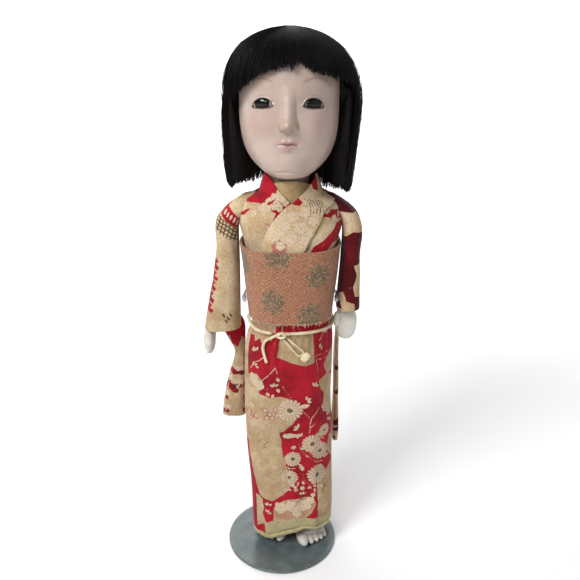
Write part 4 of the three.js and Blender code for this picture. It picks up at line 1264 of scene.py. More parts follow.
    @staticmethod
    def print_left_collar(p: Pattern) -> None:
        """Cream band with a dark net of petals and one red field at the crossing."""
        at = skirt_points
        p.cream(*at((-60, 350), (60, 350), (60, 280), (-60, 280)))
        p.red(*at((-4, 334), (0, 330), (5, 328.5), (9, 331), (6, 336), (0, 338)))
        p.flush(*at((-16, 300), (-9, 303), (-3.5, 299), (-5, 290), (-15, 290)), amount=1.0)
        p.red(*at((22, 352), (34, 352), (30, 338), (24, 340)))
        print_blossoms(
            p,
            (-8, 326, 3.8), (0, 321, 4.6), (8, 324, 4.4), (15, 328, 4.2), (-5, 314, 4.2), (5, 312.5, 4.8),
            (13, 317, 4), (-1, 304, 4.6), (8, 302.5, 4.2), (-9, 298, 3.6), (19, 338, 3.6), (21, 324, 3.4),
        )
        for i in range(7):
            x = 11 + i * 2.1
            p.ink(*at((x, 335 - i * 0.6), (x + 2.4, 329 - i * 0.6), (x + 1, 323)), width=0.55)
            p.ink(*at((x + 2.2, 335 - i * 0.6), (x - 0.6, 328)), width=0.45)
        for i in range(26):
            x, z = -14 + (i * 7.3) % 27, 296 + (i * 11.9) % 30
            p.ink(*at((x, z), (x + 1.4, z + 2.4)), width=0.3)

    @staticmethod
    def print_right_collar(p: Pattern) -> None:
        """Red band with cream blossoms."""
        at = skirt_points
        p.cream(*at((-40, 328), (-24, 328), (-12, 322), (-14, 316), (-16, 300), (-40, 300)))
        p.flush(*at((-22, 314.5), (-15.5, 314), (-15, 306.5), (-21, 307)), amount=1.0)
        print_blossoms(
            p,
            (-18.4, 310.5, 2.2), (-17, 336, 4.4), (-10, 334, 3.8), (-14, 329, 4.6), (-6, 331, 3.6),
            (-23, 333, 4.2), (-3, 335, 2.6), (-24, 326, 3.8), (-19, 325, 3.2), (-10, 326, 2.8),
        )
        for x, z in ((-13, 330), (-8, 329), (-18, 328)):
            p.ink(*at((x - 2, z), (x, z + 1.4), (x + 2, z)), width=0.4)

    def inner_collar(self) -> None:
        """Plain tan collar that shows in the opening."""
        v = np.linspace(0, 1, 26)[:, None]
        angle = full_turn(240, v)
        stand = 11 * bell(np.degrees(angle), 0, 75)
        z = mix(M.torso + M.gap, M.neck + 0.5 + stand, v)
        off = -M.cloth - M.layer - 0.3
        outer, inner = [on_body(angle, np.full(angle.shape, M.neck), off - deep) for deep in (0.0, 1.1)]
        outer[..., 2] = inner[..., 2] = z
        item = sheet_mesh("tan_collar", outer, inner, True)
        fit(item, self.collar_cloth, DOLL, "inner_collar")

    def build(self) -> None:
        """Builds every piece of the kimono but its sleeves."""
        self.left_front()
        self.right_front()
        self.back()
        self.hem_roll()
        self.collar("collar_over", Side.LEFT, lambda a, z: over_lift(a, z) + M.cloth + M.layer + 0.35)

        def under(angle: Array, z: Array) -> Array:
            """Lift of the under collar, more beside the shoulder."""
            beside = ease(np.degrees(angle), 40, 70) * ease(z, M.obi_high - 20, M.obi_high)
            return M.layer + 0.05 + beside * (M.cloth + M.layer)

        self.collar("collar_under", Side.RIGHT, under)
        self.inner_collar()


@dataclass(frozen=True)
class SleeveShape:
    """Outline of one sleeve, seen from the front."""

    side: Side
    cuff: float
    cuff_inner: float
    cuff_outer: float
    bag: tuple[tuple[float, float, float, float, float], ...]
    spread: float = 0.0
    inner: float = 41.6
    outer: float = 58.0

    def rows(self) -> Profile:
        """Rows of [height, inner, outer, front, back] from cuff to shoulder."""
        c, top = self.cuff, M.obi_high
        return Profile([
            [c, self.cuff_inner, self.cuff_outer, 17, 15],
            [mix(c, top, 0.35), mix(self.cuff_inner, self.inner, 0.4), mix(self.cuff_outer, self.outer, 0.35), 17, 16],
            [mix(c, top, 0.75), mix(self.cuff_inner, self.inner, 0.85), mix(self.cuff_outer, self.outer, 0.75), 16.5,
             16],
            [M.shoulder - 8, self.inner, 57.8 + self.spread, 15.5, 15],
            [M.shoulder, self.inner - 2, 56 + self.spread, 14.6, 13.8],
            [M.shoulder + 5.5, self.inner - 6, 52 + self.spread, 13, 12.4],
            [M.shoulder + 9, self.inner - 10, 48.4 + self.spread, 11.6, 11],
            [M.shoulder + 13, self.inner - 14.5, 43.2 + self.spread, 9.6, 9],
            [M.shoulder + 16.5, self.inner - 18.5, 38 + self.spread, 7.4, 7],
            [M.shoulder + 19.4, self.inner - 20, 32.5 + self.spread, 4.6, 4.3],
            [M.shoulder + 20.4, self.inner - 18, 26, 0.8, 0.8],
        ])


LEFT_SLEEVE = SleeveShape(Side.LEFT, M.shoulder - 80, 38.2, 58.6, (
    (41.6, 24, -145, 2.2, 11.5), (42, 24, -141, 2.9, 12.5), (41.6, 22, -93, 2.4, 12), (41.2, 21, -43, 1.8, 10),
    (43.5, 17, -12, 2.4, 7), (49.5, 13.4, 8, 6.5, 2.2)))
RIGHT_SLEEVE = SleeveShape(Side.RIGHT, M.shoulder - 96, 42.4, 73.6, (
    (51.6, 16, -99, 9.8, 8.3), (51.6, 16, -95, 10.8, 9), (49.2, 16, -67, 8.6, 8.5), (44.8, 16, -34, 4.8, 6.5),
    (47.6, 15, -18, 7.8, 5), (51, 14.5, -4, 10.4, 3.4), (54.5, 13.5, 8, 7.5, 2.4)), 2.4)


SLEEVE_CLOTH = 1.2


@dataclass
class Sleeve:
    """A kimono sleeve round the arm, with the bag that hangs from its back."""

    shape: SleeveShape
    printed: Finish

    def tube(self) -> Item:
        """The sleeve round the arm."""
        shape = self.shape
        sign, name = shape.side.value, shape.side.word
        z = np.linspace(shape.cuff + 1.3 + 1.3 * sign, M.shoulder + 20.4, 190)[:, None]
        angle = full_turn(130, z)
        inner, outer, front, back = shape.rows()(z + 0 * angle)
        soft = 0.7 * ripple(np.sin(angle) * 12, z * 0.25 + np.cos(angle) * 3, 31 + sign, 8, 0.12, 0.5)
        ridges = 0.6 * np.sin(z * 0.16 + 3 * np.sin(angle) + sign) * ease(z, shape.cuff + 12, M.obi_high)
        below = 1 - ease(z, M.shoulder - 4, M.shoulder + 7)
        wear = np.minimum((soft + ridges) * below * (0.35 + 0.65 * ease(np.abs(angle), 0.2, 1.2)), 0.5)
        inward = ease(-sign * np.sin(angle), 0.55, 0.95)
        wear = wear * (1 - inward)
        wave = 0.9 * np.sin(angle * 2 + 0.6) * (1 - ease(z, shape.cuff, shape.cuff + 14))
        middle = sign * (inner + outer) / 2

        def ring(inset: float) -> Array:
            """Points of the outer face drawn in by an inset."""
            x, y = oval(angle, (outer - inner) / 2 - inset + wear, front - inset + wear, back - inset + wear, 2.6)
            return np.stack([x + middle, y, z + wave + 0 * x], -1)

        seen = ring(0.0)
        item = sheet_mesh(f"{name}_sleeve_tube", seen, ring(SLEEVE_CLOTH), True)
        p = Pattern(seen[..., 0] + 15 * np.sign(angle) * np.clip(np.abs(angle) - 1.2, 0, None), seen[..., 2], 40 + sign)
        self.print_tube(p)
        p.store(item)
        return item

    def print_tube(self, p: Pattern) -> None:
        """Prints the front of the sleeve as the photo shows it."""
        if self.shape.side is Side.LEFT:
            p.cream((36, 320), (53, 318), (60, 312), (60, 303), (50, 304), (42, 298), (36, 296))
            p.cream((51, 276), (53.5, 268), (51, 258), (53, 249), (62, 247), (62, 278))
            p.cream((40, 250), (43, 252), (46, 245), (52, 243), (53, 236), (62, 238), (62, 230), (38, 230))
            p.red((36, 243), (41, 244), (41.5, 237), (36, 237))
            p.leaf(46, 310, 7, 3, 30)
            p.scatter((62, 225), (100, 325), 78, 19)
        else:
            p.cream((-140, 335), (0, 335), (0, 210), (-140, 210))
            for x, z in ((-84, 300), (-92, 268), (-82, 240), (-22, 290), (-28, 250)):
                p.red((x - 6, z - 5), (x + 5, z - 7), (x + 6, z + 6), (x - 4, z + 7))
                p.blossom(x, z, 4.6)
            p.red((-56, 330), (-47, 322), (-40, 313), (-38, 308), (-42, 306), (-50, 312), (-58, 320))
            for i in range(5):
                t = i / 4
                p.leaf(-51 + 9 * t, 319 - 8 * t, 5.5, 1.7, 65)
                x, z = -58.5 - 7 * t, 276 - 38 * t
                p.red((x - 4, z + 5), (x + 1, z + 3), (x - 1.6, z), (x + 1.8, z - 2), (x - 0.6, z - 5),
                      (x - 4.6, z - 3.6), (x - 3, z))
            for i in range(8):
                t = i / 7
                p.ink((-58 + 18 * t, 317 - 13.4 * t), (-61 + 18.6 * t, 307 - 13 * t), width=1.1)
            for drop in (0.0, 3.2, 6.4, 9.4):
                p.ink((-60 - drop * 0.1, 317 - drop), (-49, 311 - drop), (-39, 302 - drop), width=1.0)
            for x, z in ((-56, 233), (-52.5, 230.5), (-50, 233.5), (-54, 228)):
                p.ink((x, z), (x + 1.4, z - 2), width=1.5)

    def bag(self) -> Item:
        """The flat bag of the sleeve, hanging behind the arm."""
        shape = self.shape
        sign, name = shape.side.value, shape.side.word
        rows = Profile([[shape.cuff + r[2], r[0], r[1], r[3], r[4]] for r in shape.bag])
        z = np.linspace(shape.cuff + shape.bag[0][2], shape.cuff + 8, 150)[:, None]
        angle = full_turn(110, z)
        x0, y0, half, deep = rows(z + 0 * angle)
        low = shape.cuff + shape.bag[0][2]
        square = 0.45 + 0.55 * ease(z, low, low + 3)
        fold = 0.5 * np.sin(z * 0.11 + 2 * angle) + 0.4 * ripple(angle * 3, z * 0.3, 51 + sign, 7, 0.2, 0.6)
        fold *= ease(z, low, low + 8)
        x, y = oval(angle, half * square + fold * 0.35, deep * square + fold, deep * square + fold, 3.2)
        rings = np.stack([x + sign * x0, y + y0, z + 0 * x], -1)
        item = loft_mesh(f"{name}_sleeve_bag", rings)
        aside = rings[..., 1] + (20 if shape.side is Side.LEFT else -66)
        p = Pattern(np.where(np.abs(y) > np.abs(x), rings[..., 0], aside), rings[..., 2], 60)
        if shape.side is Side.RIGHT:
            p.cream((-80, 240), (-30, 240), (-30, 100), (-80, 100))
            p.red((-40, 222), (-41, 204), (-46, 190), (-52, 194), (-60, 208), (-64, 225))
            for bx, bz in np.random.default_rng(61).uniform((-64, 117), (-43, 168), (17, 2)):
                p.red((bx - 3, bz - 2), (bx + 3, bz - 3), (bx + 2.4, bz + 2.4), (bx - 2, bz + 3))
                p.ink((bx - 1, bz - 2.4), (bx + 2.4, bz), width=1.5)
                p.blossom(bx + 2.5, bz + 3.5, 2.8)
        else:
            p.scatter((-10, 80), (70, 240), 77, 20)
        p.store(item)
        return item

    def build(self) -> None:
        """Builds the sleeve from its tube and bag and hides the CAD sleeve."""
        name = self.shape.side.word
        tube, bag = self.tube(), self.bag()
        for item in (tube, bag):
            item.data.materials.append(self.printed)
        item = join_objects(f"{name}_sleeve_cloth", [tube, bag])
        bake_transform(item)
        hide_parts(f"{name}_sleeve")


OBI_FRONT, OBI_BACK, OBI_POWER = 28, 27, 2.8


def on_obi(angle: Array, z: Array, offset: Array) -> Array:
    """Points on the sash, flat in front and wider at the top."""
    t = (z - M.obi_low) / (M.obi_high - M.obi_low)
    half = mix(35.0, 41.0, t) + offset
    x, y = oval(angle, half, OBI_FRONT + mix(6.4, 8.0, t) + offset, OBI_BACK + offset, OBI_POWER)
    return np.stack([x, y, z + 0 * x], -1)


MEDAL_RADIUS = 11
KNOT_HALF = 8.2
FRAY_THREADS = 240


@dataclass
class Sash:
    """Brocade sash and its flat knot at the back."""

    brocade: Finish
    thread: Finish
    medals: tuple[tuple[float, float], ...] = ((-14.6, 251.5), (21.4, 272.9), (-9, 290), (16.3, 239.5), (-35.7, 280.6))

    @staticmethod
    def weave(item: Item, across: Array, up: Array, spots: Sequence[tuple[float, float]]) -> None:
        """Stores cloth coordinates and the nearest medallion.

        Args:
            item: The cloth.
            across: Sideways cloth coordinate of each point.
            up: Upward cloth coordinate of each point.
            spots: Middles of the medallions.
        """
        put_values(item, "cell", np.stack([across, up, 0 * up], -1), 3)
        p = Pattern(across, up, 71)
        for x, z in spots:
            p.daisy(x, z, MEDAL_RADIUS)
        put_values(item, "bloom", p.bloom, 3)

    def band(self) -> None:
        """The sash round the body."""
        turn = np.linspace(-math.pi, math.pi, 4001)
        ring = on_obi(turn, np.full(turn.shape, (M.obi_low + M.obi_high) / 2), 0.0)
        arc = run_lengths(ring)
        across = np.linspace(0, arc[-1], 340, endpoint=False)[None, :]
        angle = np.interp(across, arc, turn)
        z = np.linspace(M.obi_low, M.obi_high, 90)[:, None] + 0 * angle
        angle = angle + 0 * z
        wear = 0.35 * ripple(angle * 9, z * 0.3, 72, 8, 0.2, 0.9)
        frayed = 0.35 * np.sin(angle * 61) * bell(z, M.obi_low, 1.2)
        outer = on_obi(angle, z, np.minimum(wear, 0.25))
        outer[..., 2] += frayed
        item = sheet_mesh("sash_band", outer, on_obi(angle, z, np.minimum(wear, 0.25) - 2.0), True)
        front = np.abs(turn) < math.pi / 2
        spots = [(float(np.interp(x, ring[front, 0], arc[front])), z0) for x, z0 in self.medals]
        spots += [(arc[-1] / 2 + side * x, z0) for side in (1, -1) for x, z0 in ((62, 250), (74, 279), (98, 258))]
        self.weave(item, across + 0 * z, z, spots)
        fit(item, self.brocade, DOLL, "obi_sash")

    def knot(self) -> None:
        """The folded knot at the back."""
        low, high = M.obi_low + 22, M.obi_high + 4
        z = np.linspace(low, high, 70)[:, None]
        angle = full_turn(200, z)
        t = (z - low) / (high - low)
        end = np.sqrt(np.clip(1 - np.abs(2 * t - 1) ** 8, 0.0, 1))
        deep = 6.2 + 2 * end
        x, y = oval(angle, 23 + 3 * end, deep, deep, 3.0)
        fold = -0.9 * bell(t, 0.3, 0.02) - 0.9 * bell(t, 0.72, 0.02)
        y = y + (fold + 0.25 * ripple(x * 0.2, z * 0.2, 73)) * np.sign(y) * ease(np.abs(y), 3, 6)
        rings = np.stack([x, y + OBI_BACK + M.gap + KNOT_HALF, z + 0 * x], -1)
        item = loft_mesh("sash_knot", rings)
        self.weave(item, x + 80, z + 0 * x, [(80, 275)])
        fit(item, self.brocade, DOLL, "obi_knot")

    def build(self) -> None:
        """Builds the sash."""
        self.band()
        self.knot()
        rng = np.random.default_rng(74)
        turn = rng.uniform(-1.75, 1.75, FRAY_THREADS)[:, None]
        t = np.linspace(0, 1, 4)[None, :]
        drop = M.obi_low + 0.6 - np.abs(rng.normal(0, 1.5, FRAY_THREADS))[:, None] * t
        ends = on_obi(turn + rng.normal(0, 0.02, FRAY_THREADS)[:, None] * t, drop, 0.25 + 0 * t)
        ends[..., 2] = drop
        item = edge_object("sash_fray", ends)
        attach(thicken(item, FRAY_RADIUS, self.thread), DOLL)


PLIES, TWIST = 3, 4.2  # strands of the cord, and the length of one turn in millimetres
LOOP_SHARE = 0.7  # thickness of the loop against that of the cord
# Routes of the free ends: sideways place, and height from the cord
TAIL_ROUTE = ((-12.2, -2.2), (-16, -4.6), (-20.4, -7.6), (-22.4, -12), (-22.4, -17), (-21.2, -22), (-19.8, -27))
LOOP_ROUTE = (
    (-5.6, -5.2), (-1.6, -10.3), (2.4, -15.4), (5.8, -19.7), (7.0, -20.5), (8.5, -20.5), (9.7, -19.8),
    (10.5, -18.6), (10.5, -17.1), (9.8, -15.9), (6.1, -12.4), (1.8, -8.3), (-2.6, -4.2),
)


@dataclass
class Cords:
    """Ivory cord round the waist with its knot, hanging tail, loop and flat tassel."""

    silk: Finish
    radius: float = 1.35
    knot_x: float = -7.7

    @staticmethod
    def twisted(name: str, path: Array, radius: float) -> Item:
        """Three plies twisted about a path."""
        ahead = unit(np.gradient(path, axis=0))
        side = np.cross(ahead, [0.0, 0.0, 1.0])
        flat = np.linalg.norm(side, axis=1, keepdims=True) < 0.2
        side = np.where(flat, np.cross(ahead, [0.0, 1.0, 0.0]), side)
        for i in range(1, len(side)):
            if side[i].dot(side[i - 1]) < 0:
                side[i] = -side[i]
        side = unit(side)
        up = np.cross(side, ahead)
        along = run_lengths(path)
        plies = []
        for k in range(PLIES):
            turn = (along / TWIST + k / PLIES) * 2 * math.pi
            offset = 0.42 * radius * (np.cos(turn)[:, None] * side + np.sin(turn)[:, None] * up)
            plies.append(tube_mesh(f"{name}_{k}", path + offset, 0.58 * radius, 8))
        return join_objects(name, plies)

    def build(self) -> None:
        """Builds the cord and its ends."""
        over = M.cloth + M.layer
        spot = on_front(np.array(self.knot_x), np.array(M.cord - 1.0), over + M.gap + 2.6)
        start = math.atan2(spot[0], -spot[1])
        turn = start + np.radians(np.linspace(8, 352, 420))
        angle = wrapped(turn)
        deg = np.degrees(angle)
        covered = np.where(deg > 0, 1 - ease(deg, 101, 118), 1 - ease(-deg, 82, 97))
        loop = on_body(angle, np.full(angle.shape, M.cord), M.layer + self.radius + over * covered + 0.4 * covered)
        loop[:, 2] += 3.4 * ease(-deg, 46, 80) * (1 - ease(-deg, 82, 120)) + 0.5 * np.sin(angle * 3)
        fit(self.twisted("waist_tie", loop, self.radius), self.silk, DOLL, "waist_cord")
        lift = over + M.gap + self.radius + 0.3
        turns = np.linspace(0, 2 * math.pi * 1.6, 60)
        wrap = spot + np.stack([3.0 * np.cos(turns), -1.0 + 0.5 * np.sin(turns * 2), 2.0 * np.sin(turns)], -1)
        wrap[:, 0] += np.linspace(-0.8, 0.8, 60)
        fit(tube_mesh("tie_knot", wrap, 1.15, 10), self.silk, DOLL, "cord_knot")
        self.free("tie_tail", "cord_left_tail", TAIL_ROUTE, lift, "bare", [], self.radius)
        spot = on_front(np.array(12.4), np.array(M.cord - 21.8), lift)
        tassel = self.tassel(spot)
        self.free("tie_loop", "cord_right_loop", LOOP_ROUTE, lift - 0.4, "object", [tassel], LOOP_SHARE * self.radius)

    def tassel(self, spot: Array) -> Item:
        """Flat bound end of the loop."""
        z = np.linspace(-4.2, 4.2, 40)[:, None]
        angle = full_turn(60, z)
        half = 2.9 * np.clip(1 - np.abs(z / 4.25) ** 6, 0, 1) ** 0.4
        ribs = 1 + 0.06 * np.cos(angle * 14)
        x, y = oval(angle, half * ribs, 1.2 * ribs * half / 2.9, 1.2 * ribs * half / 2.9, 2.6)
        lean = math.radians(38)
        rx, rz = x * math.cos(lean) + z * math.sin(lean), -x * math.sin(lean) + z * math.cos(lean)
        item = loft_mesh("tie_tassel", np.stack([rx, y, rz + 0 * x], -1) + spot)
        return fit(item, self.silk, DOLL, "cord_tassel")

    def free(self, name: str, node: str, places: Sequence[tuple[float, float]], lift: float, end: str,
             carried: list[Item], radius: float) -> None:
        """A free length of cord lying on the skirt.

        Args:
            name: Object name.
            node: CAD node that it stands for.
            places: Sideways place and height below the cord of its route.
            lift: Offset from the body.
            end: What its far end is. Not used.
            carried: Pieces on it. Not used.
            radius: Half its thickness.
        """
        route = np.array([on_front(np.array(x), np.array(M.cord + z), lift) for x, z in places])
        path = smooth_path(route, 90)
        item = fit(self.twisted(name, path, radius), self.silk, DOLL, node)


HEAD = Profile([
    [0, 19, 36, 16.5], [4, 24, 40, 18], [10, 29.7, 42, 22], [18, 34.1, 43.3, 28], [28, 37.1, 44, 34],
    [40, 38.4, 44, 39], [53, 38.6, 43.5, 42], [66, 38.4, 43, 43], [78, 36.5, 40.5, 42], [88, 32, 34, 37.5],
    [95, 23.5, 25, 28], [98.5, 12, 13, 15],
])
HAIR = Profile([
    [-16, 47.5, 44, 43], [0, 48.5, 46, 46], [20, 49, 47, 48], [45, 49, 47.2, 48.5], [66, 47.8, 47, 48],
    [80, 44.5, 44.5, 45.5], [90, 38.5, 38.5, 40], [98, 28, 29, 31], [103, 15, 16, 17.5], [105, 3, 3, 3.5],
])
NECK_ROWS = (  # height from the chin and radius, from the end of the peg upward
    (-50.0, 12.5), (-25.65, 12.5), (-25.64, 16.0), (-12.0, 15.4), (-1.5, 16.4),
)
HEAD_POWER = 2.2
EYE_HALF = 7.1
HEAD_TOP = 98.5


@dataclass
class Head:
    """Painted head with glass eyes."""

    skin: Finish
    glass: Finish
    eye_x: float = 18.2
    eye_h: float = 54.6
    nose_h: float = 40.8
    mouth_h: float = 26.4

    def almond(self, x: Array, h: Array) -> tuple[Array, Array]:
        """Distance outside the opening of the nearer eye, and the share that lies above its corners."""
        a = (np.abs(x) - self.eye_x) / EYE_HALF
        arch = np.clip(1 - a * a, 0, None)
        above = (h - self.eye_h) + 2.2 + 0.7 * a
        inside = np.maximum(above - 5.3 * arch ** 0.55, -above - 1.2 * arch ** 0.6)
        corner = np.hypot(above, EYE_HALF * (np.abs(a) - 1))
        return np.where(np.abs(a) > 1, corner, inside), ease(above, -0.6, 1.6)

    def lip_line(self, side: Array) -> Array:
        """Height of the line between the lips at a distance from the middle."""
        return self.mouth_h - 0.3 * bell(side, 0, 1.5) + 0.3 * bell(side, 2.8, 1.5) - 0.3 * ease(side, 4.5, 7.5)

    def relief(self, x: Array, h: Array) -> Array:
        """How far the face stands out from the plain oval."""
        rise = np.clip((h - self.nose_h) / 20, 0, 1)
        bridge = mix(6.6, 2.0, rise ** 0.85) * (1 - ease(h, 56, 70))
        nose = np.where(h < self.nose_h, 6.6 * ease(h, self.nose_h - 6.6, self.nose_h - 1.0), bridge)
        side = np.abs(x)
        width = 6.0 + 1.8 * bell(h, self.nose_h - 1, 6)
        nose = nose * (0.75 * np.clip(1 - (side / width) ** 2, 0, 1) ** 1.2 + 0.25 * bell(side, 0, 5.5))
        ball = np.clip(1 - (side / 6.3) ** 2 - ((h - self.nose_h + 0.4) / 5.8) ** 2, 0, 1)
        nose = np.cbrt(nose ** 3 + (7.8 * ball ** 0.58) ** 3)
        alae = 0.8 * bell(side, 5.9, 1.6) * bell(h, self.nose_h - 2.8, 2.2)
        d, above = self.almond(x, h)
        hollow = -1.7 * bell(side, self.eye_x, 9.5) * bell(h, self.eye_h + 1, 7)
        lid = bell(d, 0.9, 1.4) * (0.35 + 0.6 * above) * ease(d, -0.4, 0.2)
        hole = -6.4 * ease(-d, 0.0, 0.6)
        cheek = 1.2 * bell(side, 20, 10) * bell(h, 36, 10)
        bow = self.lip_line(side)
        lips = bell(side, 0, 5.2) * (1.5 * bell(h, bow + 1.6, 1.5) + 1.8 * bell(h, bow - 2.2, 1.8))
        lips += -1.0 * bell(h, bow, 0.55) * bell(side, 0, 6.4) - 0.5 * bell(side, 7.2, 1.2) * bell(h, bow, 1.6)
        groove = -0.5 * bell(side, 0, 1.3) * bell(h, 34, 2.6)
        chin = 1.6 * bell(side, 0, 8) * bell(h, 14, 5) - 1.2 * bell(side, 0, 15) * bell(h, 5.6 - 0.012 * side ** 2, 1.1)
        return nose + alae + hollow + lid + hole + cheek + lips + groove + chin

    def build(self) -> None:
        """Builds the head and both eyes."""
        turn = full_turn(250)
        turn = turn - 0.6 * np.sin(turn)
        rings = []
        for h, r in NECK_ROWS:
            x, y = oval(turn, r, r, r, 2.0)
            rings.append(np.stack([x + M.neck_x, y, np.full(turn.shape, M.chin + h)], -1))
        heights = np.r_[np.linspace(0, 64, 170), np.linspace(64.5, HEAD_TOP, 36)]
        bare = [np.zeros(turn.shape)] * len(NECK_ROWS)
        stored = {key: list(bare) for key in ("ink", "lips", "shade", "blush", "worn")}
        for h in heights:
            half, front, back = [float(v) for v in HEAD(np.array(h))]
            x, y = oval(turn, half, front, back, HEAD_POWER)
            ahead = np.cos(turn)
            fx = x + M.neck_x - M.face_x
            flat = np.full(turn.shape, h)
            y = np.where(ahead > 0, y - self.relief(fx, flat) * np.clip(ahead, 0, 1) ** 0.25, y)
            rings.append(np.stack([x + M.neck_x, y, np.full(turn.shape, M.chin + h)], -1))
            for key, value in self.paint(fx, flat).items():
                stored[key].append(np.where(ahead > 0.2, value, 0.0))
        item = loft_mesh("painted_head", np.array(rings))
        for key, values in stored.items():
            put_values(item, key, np.r_[np.array(values).ravel(), 0.0, 0.0])
        fit(item, self.skin, HEAD_BODY, "head")
        for side in Side:
            self.eye(side)

    def paint(self, x: Array, h: Array) -> dict[str, Array]:
        """Shares of lid ink, lip paint, shade (the painted brows, with painted shade in the lip gap, lid crease,
        nostrils, under the lower lip and beside the nose wings), blush and the worn tip of the nose.
        """
        side = np.abs(x)
        d, above = self.almond(x, h)
        thick = 0.6 + 0.65 * above
        ink = (1 - ease(np.abs(d - 0.15), thick * 0.55, thick)) * (0.8 + 0.2 * above)
        ink = np.maximum(ink, ease(-d, 0.3, 0.9))
        bow = self.lip_line(side)
        # Painted shade in the gap between the lips, the lid crease, the nostrils, under the lower lip and beside the
        # nose wings; only the brows are real paint.
        lip_gap_shade = 0.95 * bell(h, bow, 0.6) * (1 - ease(side, 5.6, 7.4))
        lips = bell(side, 0, 5.0) * (0.85 * bell(h, bow + 1.3, 1.2) + 0.6 * bell(h, bow - 1.6, 1.4))
        arc = 72 - 0.055 * (side - 20.5) ** 2 * np.where(side > 20.5, 1.2, 0.5)
        brow = 0.55 * bell(h, arc, 0.8) * ease(side, 9, 13) * (1 - ease(side, 29, 33))
        crease = 0.4 * bell(d, 2.6, 0.5) * above * bell(side, self.eye_x, 7)
        nostril_shade = 0.75 * bell(side, 3.0, 1.3) * bell(h, self.nose_h - 4.4, 0.8)
        under = 0.35 * bell(side, 0, 5) * bell(h, self.mouth_h - 5.2, 1.4)
        wing_shade = 0.3 * bell(side, 6.6, 1.0) * bell(h, self.nose_h - 1.5, 2.2)
        shade = np.clip(lip_gap_shade + brow + crease + nostril_shade + under + wing_shade, 0, 0.9)
        blush = 0.15 * bell(side, 22, 12) * bell(h, 40, 13) + 0.12 * bell(side, 0, 5) * bell(h, self.nose_h, 5)
        worn = 0.75 * bell(side, 0, 4.6) * bell(h, self.nose_h - 1.4, 4.2)
        return {"ink": np.clip(ink, 0, 1), "lips": np.clip(lips, 0, 1), "shade": shade, "blush": blush, "worn": worn}

    def eye(self, side: Side) -> None:
        """One glass eye behind the lids."""
        t = np.linspace(0.01, 1.99, 60)[:, None]
        angle = full_turn(72, t)
        share = np.where(t < 1, np.sin(t * math.pi / 2), np.sin((2 - t) * math.pi / 2))
        dx, dh = 8.4 * share * np.sin(angle), 5.2 * share * np.cos(angle)
        h = self.eye_h + dh
        half, front, _ = HEAD(h)
        x = M.face_x + side.value * self.eye_x + dx
        plain = -front * np.clip(1 - (np.abs(x - M.neck_x) / half) ** HEAD_POWER, 0, 1) ** (1 / HEAD_POWER)
        middle = plain[0].mean()
        y = mix(middle, plain, 0.6) + 4.2 + np.where(t < 1, -2.9, 1.2) * (1 - share ** 2)
        item = loft_mesh(f"glass_{side.word}_eye", np.stack([x, y, M.chin + h], -1)[:, ::-1])
        iris = np.hypot(dx - 0.4 * side.value, dh + 0.2)[:, ::-1] - 5.4
        put_values(item, "iris", np.r_[iris.ravel(), OUTSIDE, OUTSIDE])
        fit(item, self.glass, HEAD_BODY, f"{side.word}_eye")


FRINGE = Profile([
    [-60, 52], [-40, 58], [-34, 64], [-26, 71.5], [-17, 77], [-6, 80], [2, 81], [5, 83], [7, 85.4], [9, 82.2],
    [18, 77.6], [32, 73], [40, 69], [60, 60],
])
FACE_TURN = math.radians(72.0)
BOB = -11.0
CROWN = 105.0
FRINGE_STRANDS, SIDE_STRANDS = 1500, 2100
INNER_SHARE, INNER_DEPTH = 0.5, 19  # strands that end inside the bob, and how deep at most
LOOSE_SHARE, STRAY_SHARE = 0.14, 0.06  # strands that lift at the end, and along the way
STRAND_RADIUS, FRAY_RADIUS = 0.17, 0.13


def on_hair(angle: Array, h: Array, offset: Array) -> Array:
    """Points on the outside of the hair at a height above the chin."""
    half, front, back = HAIR(h)
    half = half + 4 * np.clip(np.sin(angle), 0, None) * bell(h, 50, 32)
    x, y = oval(angle, *(np.maximum(reach + offset, 0.4) for reach in (half, front, back)), HEAD_POWER)
    return np.stack([x + M.neck_x, y, M.chin + h + 0 * x], -1)


